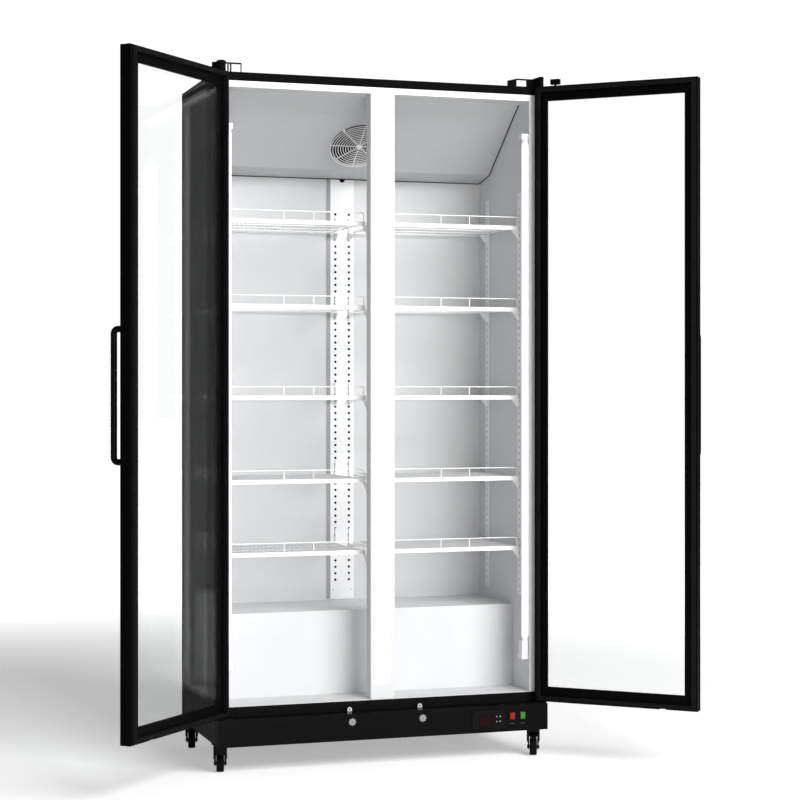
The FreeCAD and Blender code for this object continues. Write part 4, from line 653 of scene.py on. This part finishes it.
for side in ("left", "right"):
    D = door_matrix(side)
    body = side + "_door"
    U0, U1 = -PIN_IN + STILE - HOLD, REACH - STILE + HOLD
    Z0, Z1 = ZL + RAIL - HOLD, ZH - RAIL + HOLD
    g0, g1 = DF - 26, DF - 6
    pane = Build()
    for a in (g0, g1 - 4):
        pane.box(U0 + 0.2, U1 - 0.2, a, a + 4, Z0 + 0.2, Z1 - 0.2, D)
    pane.make(side + "_glass_panes", "door_glass", body, "door_glass", replaces=(side + "_door_glass",))
    sp = Build()
    ring_sweep(sp, U0, U1, Z0, Z1, [(0.4, g0 + 4.1), (6.0, g0 + 4.1), (7.0, g0 + 5.2), (7.0, g1 - 5.2), (6.0, g1 - 4.1), (0.4, g1 - 4.1)], D)
    sp.make(side + "_glass_spacer", "plastic_black", body, "door_black")
    # glazing bead: thin rubber lip between frame and glass on both faces
    bd = Build()
    ring_sweep(bd, U0 + HOLD, U1 - HOLD, Z0 + HOLD, Z1 - HOLD, [(-0.5, DF - 6.0), (0.7, DF - 6.0), (0.9, DF - 5.4), (0.6, DF - 4.0), (0.2, DF - 3.0), (-0.5, DF - 2.8)], D)
    ring_sweep(bd, U0 + 3, U1 - 3, Z0 + 3, Z1 - 3, [(-0.5, g0), (1.4, g0), (1.7, g0 - 0.6), (0.9, g0 - 2.2), (-0.5, g0 - 2.4)], D)
    bd.make(side + "_glazing_bead", "door_seal", body, "door_seal", smooth=50)
    # magnetic seal: flat foot, folded bellows and a rounded magnet tube
    gk = Build()
    prof = [(0.0, DF), (13.0, DF), (13.0, DF + 1.2), (11.6, DF + 1.8), (10.8, DF + 3.2), (11.8, DF + 4.8), (12.8, DF + 5.8), (13.0, DF + 7.2),
            (13.0, DF + 10.0), (12.4, DF + 11.1), (11.4, DF + 11.55), (5.8, DF + 11.55), (4.95, DF + 11.1), (4.6, DF + 9.45), (1.2, DF + 9.4),
            (0.3, DF + 8.6), (0.1, DF + 6.6), (1.2, DF + 4.9), (2.2, DF + 3.2), (1.4, DF + 1.8), (0.0, DF + 1.2)]
    ring_sweep(gk, -PIN_IN + 4, REACH - 4, ZL + 4, ZH - 4, prof, D)
    gk.make(side + "_seal_profile", "door_seal", body, "door_seal", smooth=40, replaces=(side + "_door_gasket",))
    # handle feet
    hf = Build()
    hy = DB - 31.7
    for z in (904.6, 1253.4):
        hf.lathe([(0, 0), (11.0, 0), (11.6, 0.8), (11.6, 2.4), (10.8, 3.4), (8.6, 3.8), (0, 3.8)], 36, D @ move(469.5, DB, z) @ turn("X", 90))
    hf.make(side + "_handle_feet", "handle_black", body, "black_coat", smooth=40)
    # screw heads on the top of both stiles
    ec = Build()
    for z in (ZH - 0.1,):
        for u in (-PIN_IN + 24, REACH - 22):
            screw(ec, D @ move(u, (DF + DB) / 2, z), 3.0)
    ec.make(side + "_frame_screws", "plastic_black", body, "door_black")

# ------------------------------------------------------------------ hinge screws
hs = Build()
for x, y, z in ((-484, 19, 2019.5), (-484, 37, 2019.5), (485, 17, 2019.5), (485, 32, 2019.5)):
    screw(hs, move(x, y, z), 3.6)
screw(hs, move(405, 0, 2008) @ turn("X", 90), 2.6)
for s in (-1, 1):
    hs.lathe([(0, 0), (2.6, 0), (2.6, 0.9), (1.8, 1.2), (0, 1.2)], 6, move(s * 487 - 3, -24 - (12.4 if s < 0 else 7.6), 2012) @ turn("X", 90))
hs.make("hinge_screws", "black_coat", "cabinet", "black_coat")

# ------------------------------------------------------------------ controller
cb = Build()


def rrect(x0, x1, z0, z1, r, n=5):
    pts = []
    for cx, cz, a in ((x1 - r, z0 + r, -90), (x1 - r, z1 - r, 0), (x0 + r, z1 - r, 90), (x0 + r, z0 + r, 180)):
        for k in range(n + 1):
            t = math.radians(a + 90 * k / n)
            pts.append((cx + r * math.cos(t), cz + r * math.sin(t)))
    return pts


def frame_plate(b, outer, inner, y0, y1):
    """Flat ring between two outlines with the same number of points."""
    n = len(outer)
    v = [(a, y0, c) for a, c in outer] + [(a, y0, c) for a, c in inner] + [(a, y1, c) for a, c in outer] + [(a, y1, c) for a, c in inner]
    f = []
    for i in range(n):
        j = (i + 1) % n
        f.append((i, j, n + j, n + i))
        f.append((2 * n + i, 3 * n + i, 3 * n + j, 2 * n + j))
        f.append((i, 2 * n + i, 2 * n + j, j))
        f.append((n + i, n + j, 3 * n + j, 3 * n + i))
    b.add(v, f)


cx0, cx1, cz0, cz1 = 260.0, 363.0, 92.5, 149.5
frame_plate(cb, rrect(cx0, cx1, cz0, cz1, 4), rrect(cx0 + 5, cx1 - 5, cz0 + 5, cz1 - 5, 3), -50.0, -47.0)
cb.make("controller_bezel", "plastic_black", "cabinet", "fan_black", bevel=0.0006, replaces=("controller_body",))
cf = Build()
bores = [(336.5, 129.5), (347.5, 129.5), (336.5, 115), (347.5, 115)]
lx0, lx1, lz0, lz1 = 282.0, 331.0, 99.5, 133.5
# face plate in strips round the lens and round the buttons' bores
cf.box(cx0 + 5, lx0, -49.3, -26, cz0 + 5, cz1 - 5)
cf.box(lx0, lx1, -49.3, -26, lz1, cz1 - 5)
cf.box(lx0, lx1, -49.3, -26, cz0 + 5, lz0)
cf.box(lx0, lx1, -47.6, -26, lz0, lz1)
xs = [lx1, 342.0, cx1 - 5]
zs = [cz0 + 5, 122.25, cz1 - 5]
for i in range(2):
    for j in range(2):
        bx_, bz_ = [(a, c) for a, c in bores if xs[i] < a < xs[i + 1] and zs[j] < c < zs[j + 1]][0]
        n = 32
        ring, sq = [], []
        for k in range(n):
            t = 2 * PI * (k + 0.5) / n
            c, s_ = math.cos(t), math.sin(t)
            ring.append((bx_ + 3.62 * c, bz_ + 3.62 * s_))
            hx = (xs[i + 1] - bx_) if c > 0 else (bx_ - xs[i])
            hz = (zs[j + 1] - bz_) if s_ > 0 else (bz_ - zs[j])
            q = min(hx / abs(c), hz / abs(s_))
            sq.append((bx_ + q * c, bz_ + q * s_))
        frame_plate(cf, sq, ring, -49.3, -46.0)
cf.box(lx1, cx1 - 5, -45.9, -26, cz0 + 5, cz1 - 5)
cf.make("controller_face", "plastic_black", "cabinet", "fan_black")
ln = Build()
ln.prism(rrect(lx0 + 0.3, lx1 - 0.3, lz0 + 0.3, lz1 - 0.3, 1.5), -50.0, -47.7, "Y")
ln.make("controller_lens", "lens_red", "cabinet", "fan_black", bevel=0.0004)
# unlit digit segments behind the lens: plain figure eights
sg = Build()
for dx in (290.0, 304.5):
    w_, h_ = 9.0, 18.0
    z_ = 107.5
    for (a, c, e, d_) in ((0.8, 0, w_ - 0.8, 1.5), (0.8, h_ / 2 - 0.75, w_ - 0.8, h_ / 2 + 0.75), (0.8, h_ - 1.5, w_ - 0.8, h_),
                          (0, 0.9, 1.5, h_ / 2 - 0.9), (w_ - 1.5, 0.9, w_, h_ / 2 - 0.9), (0, h_ / 2 + 0.9, 1.5, h_ - 0.9), (w_ - 1.5, h_ / 2 + 0.9, w_, h_ - 0.9)):
        sg.box(dx + a, dx + e, -50.06, -49.9, z_ + c, z_ + d_)
sg.make("controller_digits", "segment_red", "cabinet", "fan_black")
for nm, (bx_, bz_) in zip(("up", "set", "down", "power"), bores):
    bt = Build()
    bt.lathe([(0, -46.9), (3.5, -46.9), (3.5, -50.2), (3.2, -50.7), (2.4, -50.9), (0, -50.95)], 28, Matrix(((1, 0, 0, bx_), (0, 0, 1, 0), (0, 1, 0, bz_), (0, 0, 0, 1))))
    bt.make("button_cap_" + nm, "plastic_black", "button_" + nm, "button_grey", smooth=40, replaces=("controller_button_" + nm,))
    # Black cap with a light-grey dot: painted highlight at the button's top, painted shade round its rim.
    bd = Build()
    bd.lathe([(0, -50.80), (1.9, -50.80), (1.9, -50.96), (1.6, -51.0), (0, -51.0)], 20, Matrix(((1, 0, 0, bx_), (0, 0, 1, 0), (0, 1, 0, bz_), (0, 0, 0, 1))))
    bd.make("button_highlight_dot_" + nm, "button_grey", "button_" + nm, "button_grey", smooth=40)

# ------------------------------------------------------------------ rocker switches
for nm, x in (("red", 387.0), ("green", 420.0)):
    bz = Build()
    frame_plate(bz, rrect(x - 11, x + 11, 114.5, 141.5, 2.2), rrect(x - 7.5, x + 7.5, 116.4, 139.6, 0.8), -49.0, -47.0)
    frame_plate(bz, rrect(x - 9, x + 9, 116.0, 140.0, 1.0), rrect(x - 7.5, x + 7.5, 116.4, 139.6, 0.8), -47.0, -26.0)
    bz.box(x - 9, x + 9, -28, -26, 116, 140)
    o = bz.make("rocker_bezel_" + nm, "plastic_black", "cabinet", "fan_black", bevel=0.0005, replaces=("rocker_bezels",) if nm == "red" else ())
    # paddle: two shallow faces meeting at a ridge, round ends
    pd = Build()
    r, half, d = 11.4, 7.2, 8.6
    arc = []
    t0 = math.degrees(math.acos(d / r))
    for k in range(9):
        t = math.radians(t0 + (112 - t0) * k / 8)
        arc.append((-r * math.cos(t), r * math.sin(t)))
    up = [(y_, z_) for y_, z_ in arc]
    lowr = []
    ca, sa = math.cos(math.radians(16)), math.sin(math.radians(16))
    for y_, z_ in [(y_, -z_) for y_, z_ in arc]:
        lowr.append((y_ * ca - z_ * sa, y_ * sa + z_ * ca))
    ridge = (-d / math.cos(math.radians(8)) * math.cos(math.radians(8)), -d * math.tan(math.radians(8)))
    outline = [ridge] + up + [(6.0, 6.0), (6.0, -6.0)] + list(reversed(lowr))
    outline = [(min(a, 5.9), c) for a, c in outline]
    pd.prism(outline, x - half, x + half, "X", move(0, -42, 128))
    pd.make("rocker_paddle_" + nm, "rocker_" + nm, nm + "_rocker", "rocker_" + nm, bevel=0.0006, smooth=40, replaces=("rocker_" + nm,))
mk = Build()
for x in (387.0, 420.0):
    mk.prism(rrect(x - 7, x + 7, 104.4, 107.8, 1.2), -47.12, -46.9, "Y")
mk.make("switch_plates", "mark_grey", "cabinet", "black_coat")

# ------------------------------------------------------------------ locks
for side, x in (("left", -107.0), ("right", 107.0)):
    FR = Matrix(((1, 0, 0, x), (0, 0, 1, 0), (0, 1, 0, 137.0), (0, 0, 0, 1)))   # local z is room y
    lk = Build()
    lk.lathe([(0, -49.0), (4.6, -49.0), (4.6, -49.3), (8.2, -49.6), (10.4, -49.6), (11.6, -49.0), (12, -48.2), (12, -47.1), (10, -47.05), (10, -25.2), (9.4, -25), (0, -25)], 40, FR)
    lk.tube([(x + 8, -25.6, 137), (x + 8, -17.0, 137)], 1.5, 14)
    lk.make("lock_cylinder_" + side, "lock_collar", side + "_barrel", "lock_chrome", smooth=30, replaces=("lock_barrel_" + side,))
    st = Build()
    star = []
    for k in range(72):
        t = 2 * PI * k / 72
        q = 9.7 + 1.9 * math.cos(8 * t)
        star.append((x + q * math.cos(t), 137 + q * math.sin(t)))
    st.prism(star, -49.8, -49.3, "Y")
    st.make("lock_face_" + side, "lock_satin", side + "_barrel", "lock_chrome", bevel=0.0002, smooth=30)
    kw = Build()
    kw.box(x - 3.6, x + 3.6, -49.86, -49.1, 136.2, 137.8)
    kw.make("lock_keyway_" + side, "plastic_black", side + "_barrel", "lock_chrome")

# ------------------------------------------------------------------ casters
for c in ("fl", "fr", "rl", "rr"):
    j = JOINT["caster_%s_roll" % c]
    pos, ax = Vector(j["pos_m"]) * 1000, Vector(j["axis"]).normalized()
    e1 = Vector((0, 0, 1))
    e2 = ax.cross(e1).normalized()
    Wm = Matrix(((e1.x, e2.x, ax.x, pos.x), (e1.y, e2.y, ax.y, pos.y), (e1.z, e2.z, ax.z, pos.z), (0, 0, 0, 1)))
    ty = Build()
    ty.lathe([(17.5, -10.2), (22.6, -10.9), (24.2, -9.6), (24.95, -7.2), (24.98, 0), (24.95, 7.2), (24.2, 9.6), (22.6, 10.9), (17.5, 10.2), (17.5, 0)], 56, Wm)
    ty.make("caster_tyre_" + c, "tyre_black", "wheel_" + c, "caster_tyre", smooth=50, replaces=("caster_wheel_" + c,))
    hb = Build()
    hb.lathe([(3.05, -11.3), (7.4, -11.3), (8.0, -10.8), (8.0, -8.2), (15.0, -7.4), (17.6, -9.6), (17.6, 9.6), (15.0, 7.4), (8.0, 8.2), (8.0, 10.8), (7.4, 11.3), (3.05, 11.3)], 48, Wm)
    for k in range(6):
        q = Wm @ turn("Z", 60 * k)
        for s in (-1, 1):
            hb.box(8, 16.4, -0.9, 0.9, min(s * 6.8, s * 8.6), max(s * 6.8, s * 8.6), q)
    hb.make("caster_hub_" + c, "hub_grey", "wheel_" + c, "caster_tyre", smooth=40)
for c in ("fl", "fr", "rl", "rr"):
    soften(NODES["caster_fork_" + c], 0.0007)
soften(NODES["caster_plates"], 0.0006)
cs = Build()
for c in ("fl", "fr", "rl", "rr"):
    p_ = Vector(JOINT["caster_%s_swivel" % c]["pos_m"]) * 1000
    for sx in (-1, 1):
        for sy in (-1, 1):
            cs.lathe([(0, 0), (4.2, 0), (4.2, 2.9), (0, 2.9)], 6, move(p_.x + 14.5 * sx, p_.y + 23 * sy, 77.1))
cs.make("caster_bolts", "caster_black", "cabinet", "black_coat", bevel=0.0004)

# ------------------------------------------------------------------ back: louvre lips, screws
bk = Build()
for x in (-490, -250, 0, 250, 490):
    for z in (95, 432, 448, 1220, 1990):
        screw(bk, move(x, 472, z) @ turn("X", -90), 3.0)
for z in (700, 960, 1480, 1740):
    for x in (-490, 490):
        screw(bk, move(x, 472, z) @ turn("X", -90), 3.0)
bk.make("back_screws", "zinc", "cabinet", "galvanised")
sv = Build()
for c in range(2):
    cx = (-300, 0)[c]
    for r in range(14):
        z = 140 + 18 * r
        sv.prism([(471.0, z + 7.0), (466.0, z + 1.5), (466.4, z + 1.0), (471.0, z + 6.2)], cx - 110, cx + 110, "X")
sv.make("louvre_blades", "galvanised", "cabinet", "galvanised")

# ------------------------------------------------------------------ machinery detail
cn = Build()
for i in range(46):
    x = -424 + i * (328 / 45.0)
    cn.box(x - 0.3, x + 0.3, 200.3, 244.7, 100.5, 369.5)
for zz in range(7):
    z = 118 + 38 * zz
    for y in (211, 233):
        cn.tube([(-425.5, y, z), (-94.5, y, z)], 4.2, 12)
cn.box(-430, -426, 196, 249, 85, 374)
cn.box(-94, -90, 196, 249, 85, 374)
cn.make("condenser_fins", "fins", "cabinet", "fin_aluminium", replaces=("condenser_coil",))

ctx = Build()
ctx.tube([(266, 330, 262), (266, 330, 279.5)], 5.0, 16)
ctx.tube([(194, 330, 262), (194, 330, 279.5)], 6.0, 16)
ctx.make("compressor_stubs", "copper", "cabinet", "black_coat")

# ------------------------------------------------------------------ floor, camera, light
FLOOR_NEAR, FLOOR_FAR = (1.5, 0.36), (5.0, 0.98)
fl = bpy.data.meshes.new("floor")
S = 60.0
fl.from_pydata([(-S, -S, 0), (S, -S, 0), (S, S, 0), (-S, S, 0)], [], [(0, 1, 2, 3)])
floor = bpy.data.objects.new("floor", fl)
scene.collection.objects.link(floor)
m, nt, p, out = nodes_of("studio_floor")
p.inputs["Base Color"].default_value = (0.80, 0.80, 0.80, 1)
setp(p, spec=0.0, rough=0.9)
geo = nt.nodes.new("ShaderNodeNewGeometry")
dist = nt.nodes.new("ShaderNodeVectorMath")
dist.operation = "DISTANCE"
dist.inputs[1].default_value = (-0.2, 0.6, 0.0)
nt.links.new(geo.outputs["Position"], dist.inputs[0])
glow = nt.nodes.new("ShaderNodeMapRange")
glow.interpolation_type = "SMOOTHSTEP"
glow.inputs["From Min"].default_value = FLOOR_NEAR[0]
glow.inputs["From Max"].default_value = FLOOR_FAR[0]
glow.inputs["To Min"].default_value = FLOOR_NEAR[1]
glow.inputs["To Max"].default_value = FLOOR_FAR[1]
nt.links.new(dist.outputs["Value"], glow.inputs[0])
flp = nt.nodes.new("ShaderNodeLightPath")
fmax = nt.nodes.new("ShaderNodeMath")
fmax.operation = "MAXIMUM"
nt.links.new(flp.outputs["Is Camera Ray"], fmax.inputs[0])
nt.links.new(flp.outputs["Is Transmission Ray"], fmax.inputs[1])
fmul = nt.nodes.new("ShaderNodeMath")
fmul.operation = "MULTIPLY"
nt.links.new(fmax.outputs[0], fmul.inputs[0])
nt.links.new(glow.outputs[0], fmul.inputs[1])
emi = nt.nodes.new("ShaderNodeEmission")
nt.links.new(fmul.outputs[0], emi.inputs["Strength"])
addsh = nt.nodes.new("ShaderNodeAddShader")
nt.links.new(p.outputs[0], addsh.inputs[0])
nt.links.new(emi.outputs[0], addsh.inputs[1])
nt.links.new(addsh.outputs[0], out.inputs[0])
fl.materials.append(m)
floor.location.z = -0.0003

F, CX, CY, YAW, CAM = 1957.31, 411.58, 386.70, 18.31, (-1.71553, -5.45228, 1.10239)
cd = bpy.data.cameras.new("camera")
cam = bpy.data.objects.new("camera", cd)
scene.collection.objects.link(cam)
cd.sensor_width = 36.0
cd.lens = F * 36.0 / 800.0
cd.shift_x = (400.0 - CX) / 800.0
cd.shift_y = (CY - 400.0) / 800.0
cd.clip_start, cd.clip_end = 0.05, 200.0
cam.location = CAM
cam.rotation_euler = (math.radians(90), 0, -math.radians(YAW))
scene.camera = cam

world = bpy.data.worlds.new("studio")
scene.world = world
world.use_nodes = True
wn = world.node_tree
wn.nodes.clear()
wo = wn.nodes.new("ShaderNodeOutputWorld")
bg0 = wn.nodes.new("ShaderNodeBackground")
bg1 = wn.nodes.new("ShaderNodeBackground")
bg2 = wn.nodes.new("ShaderNodeBackground")
lp = wn.nodes.new("ShaderNodeLightPath")
mx1 = wn.nodes.new("ShaderNodeMixShader")
mx2 = wn.nodes.new("ShaderNodeMixShader")
mxm = wn.nodes.new("ShaderNodeMath")
mxm.operation = "MAXIMUM"
bg0.inputs["Color"].default_value = (1, 1, 1, 1)
bg0.inputs["Strength"].default_value = 0.14      # light that reaches dull surfaces
bg1.inputs["Color"].default_value = (1, 1, 1, 1)
bg1.inputs["Strength"].default_value = 1.05      # what is seen directly and through glass
bg2.inputs["Color"].default_value = (1, 1, 1, 1)
bg2.inputs["Strength"].default_value = 0.14      # what glossy surfaces mirror
wn.links.new(lp.outputs["Is Camera Ray"], mxm.inputs[0])
first = wn.nodes.new("ShaderNodeMath")
first.operation = "LESS_THAN"
first.inputs[1].default_value = 0.5
wn.links.new(lp.outputs["Diffuse Depth"], first.inputs[0])
seen = wn.nodes.new("ShaderNodeMath")
seen.operation = "MULTIPLY"
wn.links.new(lp.outputs["Is Transmission Ray"], seen.inputs[0])
wn.links.new(first.outputs[0], seen.inputs[1])
wn.links.new(seen.outputs[0], mxm.inputs[1])     # straight through the glass only: light that has bounced inside sees the dim surroundings
wn.links.new(lp.outputs["Is Glossy Ray"], mx1.inputs[0])
wn.links.new(bg0.outputs[0], mx1.inputs[1])
wn.links.new(bg2.outputs[0], mx1.inputs[2])
wn.links.new(mxm.outputs[0], mx2.inputs[0])
wn.links.new(mx1.outputs[0], mx2.inputs[1])
wn.links.new(bg1.outputs[0], mx2.inputs[2])
wn.links.new(mx2.outputs[0], wo.inputs[0])


def area(name, loc, target, sx, sy, power, spread=180):
    l = bpy.data.lights.new(name, "AREA")
    l.shape = "RECTANGLE"
    l.size, l.size_y = sx, sy
    l.energy = power
    l.spread = math.radians(spread)
    o = bpy.data.objects.new(name, l)
    scene.collection.objects.link(o)
    o.visible_transmission = False       # the panes let its light through once, as shadow rays
    o.location = loc
    o.rotation_euler = (Vector(target) - Vector(loc)).to_track_quat("-Z", "Y").to_euler()
    return o


key = area("key", (3.4, -8.6, 6.4), (0.0, 0.2, 0.8), 6.6, 4.6, 1500)
key.visible_glossy = False
area("front", (-1.2, -6.6, 1.4), (0.0, 0.2, 1.0), 3.4, 2.0, 30)
area("low", (0.4, -5.2, 0.75), (0.0, 0.2, 0.5), 3.0, 1.0, 50)
area("top", (0.6, -0.6, 5.2), (0.0, -0.2, 0.0), 4.0, 3.0, 10)
area("back_left", (-4.5, 2.4, 2.8), (-0.3, 0.2, 1.0), 2.4, 3.0, 6)
area("back_right", (4.5, 2.4, 2.8), (0.3, 0.2, 1.0), 2.4, 3.0, 8)

scene.view_settings.view_transform = "Standard"
